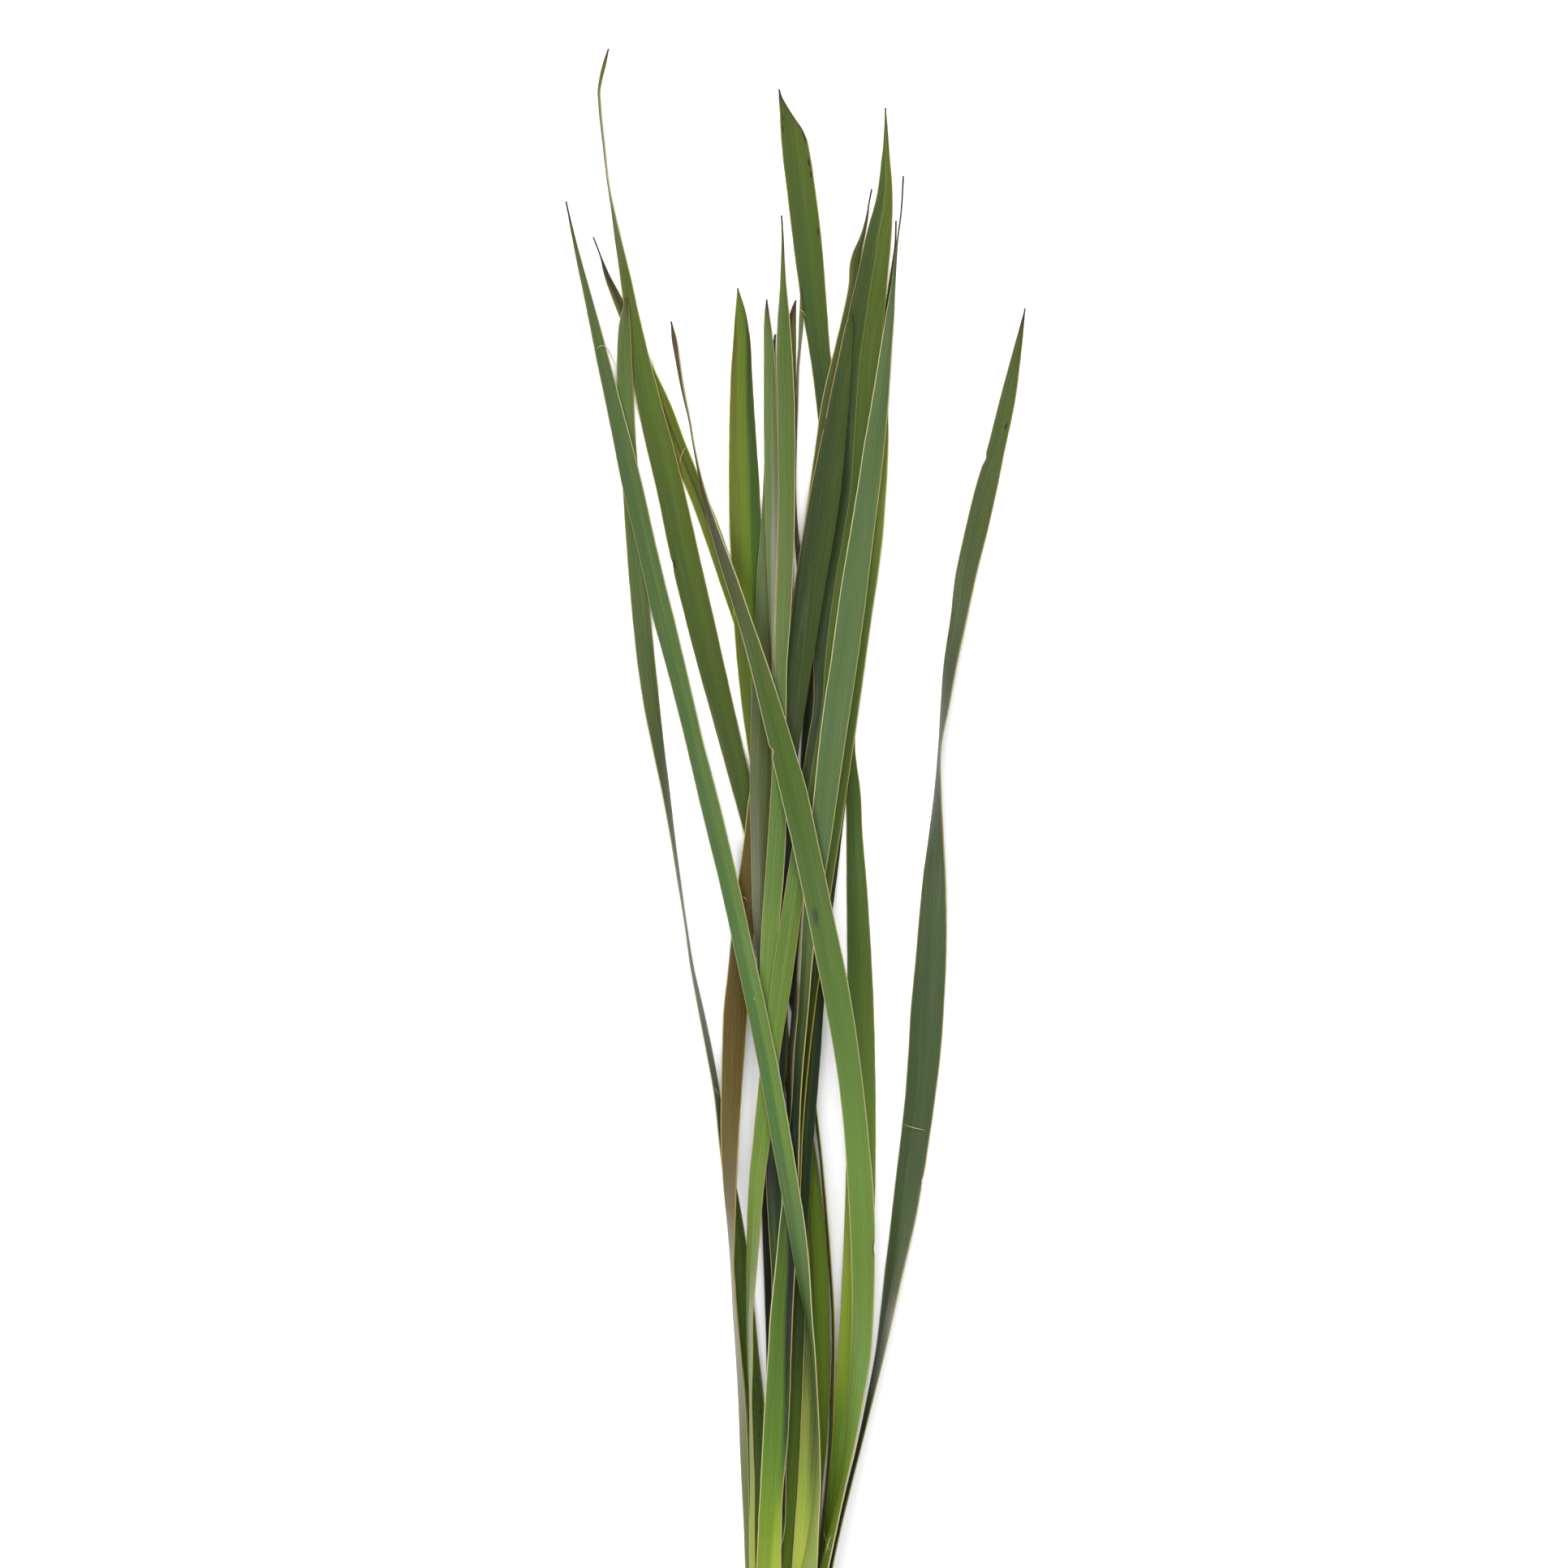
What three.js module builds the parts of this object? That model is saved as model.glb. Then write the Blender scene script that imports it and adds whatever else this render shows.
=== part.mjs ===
// A loose bunch of long narrow strap leaves, laid flat on a surface with its cut ends together.
// Millimetres. +Y runs from the cut ends to the tips, +X to the right, +Z up off the surface.
// Every leaf is one closed solid. The leaves cross over and under each other, and each one sags
// onto whatever lies below it.

import * as THREE from 'three';

// Blade section
const BLADE_THICKNESS = 1.0;
const BASE_THICKNESS = 1.7;
const EDGE_THICKNESS = 0.45;
const THICKNESS_TO_WIDTH = 0.35;
const EDGE_TO_WIDTH = 0.2;
const LEAST_WIDTH = 0.4;

// The blades are folded into a gutter near the cut ends, and flatten out by this height.
const GUTTER_REACH = 460;

// Spacing of the sections along a blade, and the length at the tip that keeps its own sections
const SECTION_STEP = 24;
const TIP_LENGTH = 55;

// Laying the leaves on each other
const LAYING_STEP = 4;
const NODE_STEP = 24;
const CLEARANCE = 0.55;
const SIDE_CLEARANCE = 0.6;
const SAG_RADIUS = 1500;
const SWEEPS = 14;
const RELAXATIONS = 900;

// Leaves that weave dive under their neighbours below this height.
const WEAVE_HEIGHT = 492;

// The leaves from the lowest to the topmost. Each edges row holds the height along the bunch, the
// places of the left and right edges, and how far the right edge rises above the left one. Where
// the edges come close and the rise is large, the blade is twisted and stands on its edge.
const LEAVES = [
  {
    name: 'back_sliver_leaf',
    colour: 0x6b6a3a,
    layer: 1,
    gutter: 0,
    edges: [
      [0, -11, -3, 0],
      [50, -11.3, -4, 0],
      [154, -7.2, 0.9, 0],
      [244, -9, -2.7, 0],
      [334, -10.8, -2.7, 0],
      [424, -9.5, -1.8, 0],
      [469, -7.2, 1.8, 0],
      [514, -4, 3.6, 0],
      [559, -1.8, 4.5, 0],
      [604, -0.5, 5.4, 0],
      [649, 0.5, 6.8, 0],
      [694, 1.4, 6.8, 0],
      [730, 2.7, 6.8, 0],
      [747.5, 3.8, 6.8, 0],
      [751, 5.2, 6.8, 0],
      [753, 6.3, 6.8, 0],
    ],
  },
  {
    name: 'brown_tipped_leaf',
    colour: 0x6f6e2a,
    layer: 2,
    gutter: 0,
    edges: [
      [0, -8, 1, 0],
      [50, -10.8, -2.7, 0],
      [154, -7.2, 0.9, 0],
      [199, -5.9, 0.9, 0],
      [244, -9.9, -2.7, 0],
      [334, -11.7, -3.6, 0],
      [379, -12.6, -4.5, 0],
      [411, -10.8, -2.7, 0],
      [447, -8.1, 0.9, 0],
      [492, -12.6, -1.8, 0],
      [523, -16.2, -6.3, 0],
      [550, -20.7, -11.7, 0],
      [584, -31.5, -21.6, 0],
      [609, -40.1, -29.7, 0],
      [636, -49.5, -38.7, 0],
      [658, -58.1, -48.6, 0],
      [694, -72.9, -62.1, 0],
      [719, -82.4, -73.8, 0],
      [741, -90.5, -83.7, 0],
      [757.5, -96.8, -91.4, 0],
      [766.5, -99.9, -96.3, 0],
      [777.5, -102.2, -101.3, 0],
      [788, -106, -105.5, 0],
    ],
  },
  {
    name: 'tall_hooked_leaf',
    colour: 0x55752f,
    layer: 3,
    gutter: 0,
    edges: [
      [0, 8, 14, 9],
      [50, 18, 20.7, 10],
      [87, 22.5, 24.8, 10.5],
      [109, 24.8, 26.6, 10.5],
      [136, 26.1, 27.9, 10.5],
      [181, 27.5, 28.5, 10.5],
      [217, 25.7, 26.6, 10.5],
      [271, 21.2, 22.1, 10.5],
      [307, 16.7, 18, 10],
      [334, 10.5, 13.5, 9.5],
      [379, -0.9, 7.5, 6],
      [424, -13, -1.5, 2],
      [457, -22.1, -9.5, 0],
      [489, -31, -18.5, 0],
      [523, -40.5, -26.6, 0],
      [559, -50.4, -34.7, 0],
      [604, -61.7, -45, 0],
      [649, -71.1, -55.4, 0],
      [674, -77, -61.7, 0],
      [703, -83, -69.8, 0],
      [739, -87.5, -78.8, 0],
      [771, -91.8, -86, 0],
      [793, -94.5, -91.4, 2],
      [807, -95.9, -94.5, 3],
      [820, -97.7, -97.2, 3.2],
      [838, -99.9, -99, 2.8],
      [861, -102.6, -101.3, 2.2],
      [870, -103.1, -101.7, 1.5],
      [874.5, -102.6, -100.8, 0.8],
      [883.5, -100.8, -98.6, 0],
      [892.4, -97.6, -97, 0],
    ],
  },
  {
    name: 'cut_tip_leaf',
    colour: 0x4c6a38,
    layer: 4,
    gutter: 1.2,
    edges: [
      [0, 9, 18, 4],
      [50, 19.8, 25.2, 6],
      [87, 23.4, 31, 6],
      [109, 25.7, 36, 5],
      [136, 27.5, 40.5, 2],
      [168, 29.7, 45, 0],
      [199, 31.5, 47.7, 0],
      [253, 33.8, 50.4, 0],
      [289, 34.5, 50.9, 0],
      [334, 34.9, 50.6, 0],
      [379, 35.1, 49.1, 0],
      [424, 34.7, 46.4, 0],
      [469, 34.4, 42.8, 0],
      [487, 34, 42.3, 0],
      [509, 33.3, 39.2, 0],
      [536, 31.5, 40.5, 0],
      [559, 29.7, 40.5, 0],
      [604, 26.1, 38.7, 0],
      [649, 22.5, 35.1, 0],
      [685, 18.9, 31, 0],
      [721, 14.4, 26.1, 0],
      [757, 8.6, 23.4, 0],
      [784, 5, 21.2, 0],
      [811, 1.8, 18, 0],
      [829, -0.5, 15.5, 0],
      [842, -1.8, 13.1, 0],
      [848.5, -2.2, 9.9, 0],
      [853.5, -2.3, 6.3, 0],
      [859, -2.6, 2.7, 0],
      [864.5, -3, -0.5, 0],
      [870, -3, -2.5, 0],
    ],
  },
  {
    name: 'yellow_broad_leaf',
    colour: 0x6c8a12,
    layer: 5,
    gutter: 1.2,
    edges: [
      [0, 3, 13, 1],
      [50, 11.7, 18.9, 3],
      [87, 14.4, 20.7, 4],
      [114, 15.3, 23.4, 3],
      [154, 15.3, 25.7, 0],
      [199, 14.4, 25.2, 0],
      [231, 13.5, 23.4, 1],
      [267, 10.8, 19.8, 3],
      [287, 7.6, 16.7, 4],
      [316, 0.9, 8.5, 6],
      [338, -2.5, 3.8, 7],
      [357, -4.9, 2, 7],
      [379, -5.9, 4.5, 5],
      [411, -9.5, 0.5, 3],
      [447, -11.7, 0.5, 1],
      [496, -18.9, -4.1, 0],
      [523, -23, -7.2, 0],
      [568, -27.5, -10.8, 0],
      [609, -29.3, -12.2, 0],
      [640, -30.6, -13.1, 0],
      [676, -30.6, -15.3, 0],
      [712, -29.7, -17.6, 0],
      [730, -28.4, -18.5, 0],
      [737, -27.9, -19.4, 0],
      [748.5, -27, -21.6, 0],
      [759.7, -25.9, -25.4, 0],
    ],
  },
  {
    name: 'grey_twisted_leaf',
    colour: 0x6d6c60,
    layer: 6,
    gutter: 0,
    edges: [
      [0, 0, 8, 0],
      [50, -0.5, 5, 0],
      [154, 4.5, 9.9, 2],
      [217, 6.3, 10.8, 4],
      [253, 3.6, 7.2, 6],
      [296, 1.8, 3.4, 7],
      [312, 1.8, 4.5, 7],
      [334, 2.7, 5.4, 7],
      [357, 4.5, 7.7, 7],
      [384, 6.3, 8.1, 7],
      [424, 7.7, 10.4, 7],
      [469, 9, 11.7, 7],
      [492, 9.3, 12.5, 6],
      [514, 10.3, 14.5, 5],
      [532, 11.5, 17.5, 3],
      [559, 11, 19, 0],
      [588, 8.5, 14.5, 2],
      [604, 7.5, 11.5, 4],
      [622, 6.2, 8.4, 5],
      [649, 6.1, 6.8, 6],
      [667, 6.5, 7, 5.5],
      [685, 7, 7.7, 5],
      [703, 7.7, 8.1, 4],
      [717, 7.7, 8.6, 3],
      [730, 8.1, 9.9, 1],
      [739.5, 8.1, 10.8, 0],
      [748.5, 8.6, 10.6, 0],
      [759.7, 9, 9.5, 0],
    ],
  },
  {
    name: 'left_twisted_leaf',
    colour: 0x5e7a4a,
    layer: 7,
    gutter: 1,
    edges: [
      [0, -13, -4, 0],
      [50, -17.6, -10, 0],
      [109, -19.4, -10.4, 0],
      [145, -21.2, -11.3, 0],
      [181, -25.2, -15.3, 0],
      [199, -26.6, -16.7, -1],
      [233, -29.3, -21.6, -4],
      [260, -32.9, -26.1, -6],
      [289, -36.5, -33.3, -8],
      [314, -39.2, -36, -8.5],
      [348, -45.5, -42.3, -8.5],
      [379, -51.3, -49.5, -8.8],
      [397, -54, -53.1, -9],
      [411, -55.8, -55.1, -9],
      [424, -58.1, -56.7, -9],
      [447, -61.7, -59.9, -8.8],
      [469, -65.7, -62.1, -8],
      [487, -69.3, -64.4, -7],
      [514, -75.2, -67.5, -5],
      [541, -80.1, -70.2, -2],
      [577, -84.2, -73.8, 0],
      [613, -87.3, -77.5, 0],
      [649, -89.6, -79.9, 0],
      [667, -90.9, -81.5, 0],
      [703, -92.7, -83.3, 0],
      [721, -92.7, -84.2, 0],
      [732.5, -92.3, -84.6, 0],
      [740.5, -91.4, -85.1, 0],
      [749.5, -89.1, -86, 0],
      [754.3, -87.6, -87, 0],
    ],
  },
  {
    name: 'brown_leaf',
    colour: 0x6f6040,
    layer: 8,
    gutter: 0.8,
    edges: [
      [0, -16, -10, 5],
      [50, -21.2, -18.5, 6],
      [73, -22, -18.9, 6],
      [109, -23.9, -19.4, 6],
      [136, -24.8, -20.7, 6.5],
      [163, -26.1, -23, 7.5],
      [181, -27.5, -24.8, 8],
      [199, -28.4, -26.6, 8.5],
      [217, -29.3, -27.5, 8.5],
      [244, -31.5, -26.6, 8],
      [271, -34.2, -25.7, 6],
      [298, -35.1, -24.3, 3],
      [325, -34.7, -22.5, 0],
      [357, -33.8, -20.3, 0],
      [384, -31, -18, 0],
      [399, -29.7, -16.7, 0],
      [430, -25.7, -14, 0],
      [457, -22, -11.3, 0],
      [479, -19.4, -9, 0],
      [514, -12.2, -2.3, 0],
      [550, -4, 5.9, 0],
      [588, 4.5, 14.9, 0],
      [631, 11.3, 21.6, 0],
      [658, 15.3, 26.1, 0],
      [699, 21.2, 32, 0],
      [732, 29.3, 38.7, 0],
      [762, 35.6, 43.2, 0],
      [774.5, 36.5, 42.8, 0],
      [779, 37.8, 43.2, 0],
      [789, 42.3, 45, 0],
      [798, 45, 46.6, 0],
      [807, 46.8, 47.5, 0],
      [814.6, 48.4, 48.8, 0],
    ],
  },
  {
    name: 'dark_inner_leaf',
    colour: 0x3e5226,
    layer: 9,
    gutter: 1,
    edges: [
      [0, -1, 6, 0],
      [50, -0.9, 4.5, 3],
      [69, 0, 5.4, 3],
      [109, 2.3, 8.6, 2],
      [163, 4, 10.8, 0],
      [199, 5.4, 12.2, 0],
      [231, 6.8, 13.1, 0],
      [267, 8.6, 15.1, 0],
      [289, 9.5, 16.7, 0],
      [312, 11.3, 18.5, 0],
      [334, 13.5, 20.3, 0],
      [361, 15.8, 22.1, 0],
      [397, 18.5, 24.8, 0],
      [424, 21.2, 28.4, 0],
      [447, 23.4, 31, 0],
      [469, 26.1, 33.8, 0],
      [492, 28.4, 36.4, 0],
      [523, 31, 40.3, 0],
      [559, 34.2, 44.1, 0],
      [604, 37.8, 49.5, 0],
      [649, 43.2, 54.5, 0],
      [694, 49.5, 57.6, 0],
      [739, 54.9, 60.3, 0],
      [766, 58.5, 61.7, 0],
      [784, 61.2, 62.3, 0],
      [797, 61.9, 62.3, 0],
    ],
  },
  {
    name: 'tall_folded_leaf',
    colour: 0x62863e,
    layer: 10,
    gutter: 0.8,
    edges: [
      [0, -14, -8, 3],
      [50, -18.9, -15.3, 5],
      [91, -18.5, -15.8, 6],
      [127, -18.9, -17.1, 7],
      [145, -18.9, -17.6, 7.5],
      [163, -19.8, -17.1, 7.5],
      [181, -20.3, -16.7, 7.5],
      [199, -20.7, -16.7, 7.5],
      [222, -20.7, -14.2, 6],
      [240, -20.3, -12.8, 5],
      [253, -19.8, -11.7, 4],
      [276, -18.7, -9.2, 2],
      [289, -17.1, -7.2, 0],
      [307, -15.3, -4.5, 0],
      [330, -13, -2.7, 0],
      [357, -9.5, 1.4, 0],
      [379, -6.8, 5, 0],
      [406, -2.7, 8.6, 0],
      [421, -0.4, 10.4, 0],
      [447, 4, 14, 0],
      [469, 7, 16.7, 0],
      [492, 10.4, 20.3, 0],
      [514, 13.8, 24.3, 0],
      [532, 16.4, 27, 0],
      [559, 16.5, 30.6, 0],
      [604, 22, 37.4, 0],
      [640, 29, 43, 0],
      [667, 30, 46.5, 0],
      [694, 30.6, 49.5, 0],
      [721, 31.7, 53, 0],
      [739, 34.2, 55.4, 0],
      [757, 38.3, 56.7, 0],
      [775, 42.3, 58.5, 0],
      [793, 46.4, 59.9, 0],
      [811, 51.3, 60.3, 0],
      [820.5, 52.7, 59.9, 0],
      [829.5, 53.6, 59, 0],
      [836, 54.5, 58.5, 0],
      [847.5, 55.4, 57.6, 0],
      [859.6, 56, 56.5, 0],
    ],
  },
  {
    name: 'yellow_strip_leaf',
    colour: 0x7f9a55,
    layer: 11,
    gutter: 0.8,
    edges: [
      [0, -8, 0, 0],
      [50, -8.1, -2.3, 2],
      [154, -2.7, 3.2, 2],
      [199, -0.9, 5, 2],
      [217, 0.5, 6.8, 1],
      [235, 2.3, 8.1, 1],
      [262, 3.6, 9.5, 1],
      [294, 6.8, 10.8, 3],
      [312, 8.6, 12.2, 4],
      [334, 10.4, 14.4, 4],
      [357, 12.6, 17.1, 4],
      [377, 14.9, 19.8, 4],
      [402, 16.7, 23, 3],
      [424, 18.5, 26.1, 1],
      [447, 21.2, 29.7, 0],
      [469, 24.8, 33.3, 0],
      [492, 27.9, 36.5, 0],
      [509, 30.6, 39.2, 0],
      [528, 33.3, 41.9, 0],
      [557, 37.4, 45.9, 0],
      [586, 41.4, 50, 0],
      [613, 45, 54, 0],
      [640, 48.2, 56.3, 0],
      [667, 51.3, 57.8, 0],
      [681, 53.6, 58, 0],
      [690, 55.4, 57.8, 0],
      [696.7, 57.4, 57.8, 0],
    ],
  },
  {
    name: 'olive_leaf',
    colour: 0x5f6a42,
    layer: 12,
    weave: { below: WEAVE_HEIGHT, layer: 9.2 },
    gutter: 0.8,
    edges: [
      [0, -14, -6, 0],
      [50, -13, -5.4, 0],
      [109, -11.3, -3.6, 0],
      [136, -10.4, -2.3, 0],
      [167, -9.9, -1.8, 0],
      [199, -10.8, -2.7, 0],
      [226, -11.7, -3.6, 0],
      [253, -12.6, -5, 0],
      [289, -13, -4.5, 0],
      [334, -13.5, -4.5, 0],
      [379, -14.4, -5, 0],
      [395, -15.8, -6.3, 0],
      [413, -17.6, -7.2, 0],
      [451, -18.5, -7.2, 0],
      [474, -19.1, -7.2, 0],
      [500, -18.9, -6.9, 0],
      [523, -18.5, -6.9, 0],
      [550, -17.6, -6.3, 0],
      [577, -16.2, -5, 0],
      [604, -14.9, -4, 0],
      [627, -13, -3.6, 0],
      [649, -11.7, -3.6, 0],
      [685, -9.9, -4, 0],
      [712, -8.1, -4.5, 0],
      [726, -6.8, -4.7, 0],
      [734, -5.2, -4.5, 0],
    ],
  },
  {
    name: 'narrow_middle_leaf',
    colour: 0x6a8a58,
    layer: 13,
    weave: { below: WEAVE_HEIGHT, layer: 9.3 },
    gutter: 0,
    edges: [
      [0, -12, -4, 0],
      [50, -11.7, -5, 0],
      [154, -6.8, 0.5, 0],
      [199, -5.9, 0.9, 0],
      [253, -8.6, -1.8, 0],
      [289, -9, -2.3, 0],
      [334, -10.4, -3.2, 0],
      [379, -11.3, -4.5, 0],
      [411, -9.5, -3.2, 0],
      [456, -7.2, -1.8, 2],
      [492, -6.8, -4, 4],
      [510, -7, -5.9, 5],
      [528, -6.8, -6, 5.5],
      [540, -6.4, -5.7, 5.5],
      [559, -7.2, -5.4, 5.5],
      [577, -8.1, -4.5, 5],
      [595, -9, -4, 4],
      [613, -9.9, -3.6, 2.5],
      [649, -10.8, -3.2, 0],
      [685, -11.3, -3.6, 0],
      [721, -11.3, -5, 0],
      [737, -11.3, -6.8, 0],
      [746, -10.8, -8.1, 0],
      [753.4, -9.9, -9.3, 0],
    ],
  },
  {
    name: 'dark_broad_leaf',
    colour: 0x47602c,
    layer: 14,
    weave: { below: WEAVE_HEIGHT, layer: 9.4 },
    gutter: 1,
    edges: [
      [0, 4, 13, 0],
      [50, 4, 13.5, 0],
      [87, 6.8, 17.6, 0],
      [109, 8.1, 18.9, 0],
      [136, 9.5, 18.9, 0],
      [154, 9.9, 18, 0],
      [172, 10.8, 16.7, 1],
      [190, 11.5, 15.5, 3],
      [217, 7.7, 14, 2],
      [253, 0.9, 9, 0],
      [289, -4.5, 3.2, 0],
      [312, -7, 0.5, 0],
      [334, -7.9, 1.4, 0],
      [357, -7.7, 1.8, 0],
      [379, -9, 1.2, 0],
      [411, -10.8, 1.5, 0],
      [426, -10, 3, 0],
      [442, -9, 4, 0],
      [469, -7.5, 6, 0],
      [494, -5.5, 7.2, 0],
      [523, -2.3, 11.3, 0],
      [559, 1.8, 17.1, 0],
      [598, 6.3, 23.6, 0],
      [631, 11.7, 29.3, 0],
      [654, 15.8, 32.4, 0],
      [685, 22.5, 35.1, 0],
      [710, 27.5, 37.1, 0],
      [724, 30.6, 37.8, 0],
      [732.5, 32.4, 38.3, 0],
      [739.5, 34.2, 38.4, 0],
      [744.8, 36.9, 37.8, 0],
    ],
  },
  {
    name: 'pointed_middle_leaf',
    colour: 0x627f40,
    layer: 15,
    weave: { below: WEAVE_HEIGHT, layer: 9.5 },
    gutter: 1.6,
    edges: [
      [0, -12, -3, 0],
      [50, -12.6, -4.5, 0],
      [60, -12.3, -1.5, 0],
      [70, -11.8, 0.3, 0],
      [82, -11, 1.3, 0],
      [109, -9.6, 1.3, 0],
      [125, -8.8, 0.8, 0],
      [154, -7.2, 0.9, 0],
      [199, -6.8, 1.4, 0],
      [226, -7.7, 0, 0],
      [253, -9.7, -0.9, 0],
      [289, -10.4, -1.4, 0],
      [334, -12.2, -2.7, 0],
      [357, -13, -3.6, 0],
      [379, -13.5, -4, 0],
      [411, -12.2, -2.1, 0],
      [442, -9.9, 0.6, 0],
      [469, -8.1, 1.5, 0],
      [494, -6.8, 1, 0],
      [505, -5.8, 1.6, 0],
      [518, -4.9, 1.8, 0],
      [532, -5.2, 1.4, 0],
      [550, -5.4, 1.8, 0],
      [568, -5, 3.2, 0],
      [588, -4.5, 4.5, 0],
      [622, -3.6, 5.9, 0],
      [649, -3.2, 6.3, 0],
      [676, -3.6, 6.3, 0],
      [703, -4, 5.9, 0],
      [726, -4.5, 4.5, 0],
      [744, -3.6, 3.2, 0],
      [762, -2.3, 1.4, 0],
      [775, -1.8, 0.5, 0],
      [789, -1.4, -0.2, 0],
      [800, -1.6, -1.1, 0],
    ],
  },
  {
    name: 'pale_edged_leaf',
    colour: 0x65855a,
    layer: 16,
    gutter: 2,
    edges: [
      [0, -14, -1, 0],
      [50, -15.3, -1.4, 0],
      [82, -14, -0.9, 0],
      [100, -13, 0, 0],
      [127, -11.7, 2.7, 0],
      [163, -9.5, 4, 0],
      [199, -7.2, 5.4, 0],
      [217, -5, 6.3, 0],
      [240, -2.7, 7.2, 2],
      [254, -0.9, 8, 3.5],
      [276, 0.9, 8.6, 5],
      [296, 3.2, 9, 6.5],
      [316, 5, 9.9, 7.5],
      [334, 5.6, 11.3, 7.5],
      [357, 7.7, 13.5, 7.5],
      [379, 9, 15.3, 7],
      [402, 9.9, 17.6, 6],
      [424, 10.8, 21.2, 4],
      [447, 13, 25.2, 2],
      [469, 15.3, 28.4, 0],
      [496, 18, 32.4, 0],
      [526, 21.6, 36.9, 0],
      [559, 26.6, 41.9, 0],
      [586, 30.2, 45.5, 0],
      [609, 33.8, 48.2, 0],
      [640, 39.2, 52.2, 0],
      [667, 43.2, 55.4, 0],
      [690, 47.3, 57.6, 0],
      [714, 51.3, 59.2, 0],
      [735, 54.5, 60.5, 0],
      [751, 57.6, 61.7, 0],
      [762, 59.4, 61.9, 0],
      [775, 60.8, 62.6, 0],
      [784, 62.1, 63.2, 0],
      [802, 64.6, 65.3, 0],
      [821.8, 65.9, 66.4, 0],
    ],
  },
  {
    name: 'right_arching_leaf',
    colour: 0x4c6348,
    layer: 17,
    gutter: 0,
    edges: [
      [0, 13, 20, 7],
      [50, 24.3, 26.6, 9],
      [69, 29.3, 30.6, 9.5],
      [87, 33.3, 34.9, 10],
      [105, 37.8, 39.4, 10.5],
      [123, 41.9, 44.1, 11],
      [141, 45.5, 48.6, 11.5],
      [157, 48.6, 52.7, 11.5],
      [177, 52.2, 57.6, 11],
      [199, 54.5, 62.6, 9.5],
      [224, 57.2, 68.4, 7],
      [247, 59.9, 73.8, 4],
      [276, 63, 78.8, 1],
      [303, 66.2, 82.8, 0],
      [330, 68.4, 86.4, 0],
      [361, 70.2, 88.7, 0],
      [388, 72.9, 90, 2],
      [424, 76.1, 90, 7],
      [451, 79.7, 88.7, 11],
      [469, 82.4, 87.8, 12.5],
      [487, 84.2, 86.9, 13],
      [499, 85.5, 86.4, 13],
      [514, 86.4, 89.1, 12.5],
      [541, 87.8, 94.1, 10],
      [559, 89.6, 97.7, 7],
      [577, 92.3, 101.7, 4.5],
      [595, 94.1, 105.3, 2.5],
      [613, 97.2, 110.3, 0],
      [631, 101.7, 114.3, 0],
      [663, 109.4, 121.5, 0],
      [676, 114.3, 123.8, 0],
      [694, 118.4, 127.8, 0],
      [721, 125.6, 131.4, 0],
      [735, 129.6, 132.8, 0],
      [748.4, 133.4, 133.9, 0],
    ],
  },
  {
    name: 'long_front_leaf',
    colour: 0x5a7f52,
    layer: 18,
    gutter: 0.6,
    edges: [
      [0, 1, 12, 3],
      [50, 9.5, 18.5, 4],
      [64, 12.6, 18.9, 6],
      [87, 16.2, 20.3, 8],
      [109, 18, 20.3, 9],
      [127, 18.9, 19.8, 9.5],
      [145, 18, 18.9, 9.5],
      [163, 16.2, 18, 9.5],
      [181, 13.1, 16.7, 9],
      [199, 10.4, 15.3, 8.5],
      [217, 6.3, 14.4, 6.5],
      [235, 3.2, 12.6, 4.5],
      [253, -0.5, 9.9, 3],
      [289, -7.2, 4.1, 1],
      [334, -15.3, -4.1, 0],
      [384, -25.7, -14.9, 0],
      [423, -34.2, -23.4, 0],
      [469, -45.5, -34.2, 0],
      [505, -54, -43.7, 0],
      [541, -63, -52.2, 0],
      [577, -72.9, -60.8, 0],
      [613, -81, -69.8, 0],
      [649, -89.6, -77.9, 0],
      [685, -96.8, -87.3, 0],
      [724, -104.9, -97.7, 0],
      [753, -110.7, -105.8, 0],
      [768.5, -113.9, -110.3, 0],
      [784.5, -117, -114.8, 0],
      [807.8, -121.2, -120.6, 0],
    ],
  },
  {
    name: 'diagonal_front_leaf',
    colour: 0x5f8a4c,
    layer: 19,
    gutter: 0,
    edges: [
      [0, 9, 16, 7],
      [50, 19.8, 24.3, 9],
      [73, 25.2, 29.3, 10],
      [96, 31.1, 34.2, 11],
      [111, 33.3, 37.8, 11],
      [138, 35.1, 43.2, 9],
      [168, 36.9, 48.2, 5],
      [199, 37.4, 50, 2],
      [226, 36.9, 50.4, 0],
      [253, 35.6, 50, 0],
      [294, 32.9, 46.4, 0],
      [334, 27.9, 41.9, 0],
      [377, 19.8, 35.1, 0],
      [415, 12.2, 27, 0],
      [453, 4.1, 18.9, 0],
      [480, -2.3, 13.1, 0],
      [512, -9.9, 3.6, 0],
      [546, -18, -7.2, 1],
      [573, -25.2, -16.7, 3],
      [604, -34.7, -27.5, 4.5],
      [631, -42.3, -37.8, 5.5],
      [649, -45.9, -43.7, 6],
      [667, -49.1, -48.2, 6],
      [685, -52.2, -51.3, 5],
      [703, -56.7, -54.9, 4],
      [721, -60.3, -57.6, 2],
      [730, -62.1, -59, 1],
      [741.2, -62.8, -62.3, 0],
    ],
  },
];

const clamp = THREE.MathUtils.clamp;
const lerp = THREE.MathUtils.lerp;

// The heights of a leaf's sections: even steps up to the tip, then the tip's own rows
function sectionHeights(edges) {
  const tip = edges[edges.length - 1][0];
  const heights = [];
  for (let y = 0; y < tip - TIP_LENGTH; y += SECTION_STEP) {
    heights.push(y);
  }
  const last = heights[heights.length - 1];
  const tipRows = edges.map((row) => row[0]).filter((y) => y > last + SECTION_STEP / 3);
  return heights.concat(tipRows);
}

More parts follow.
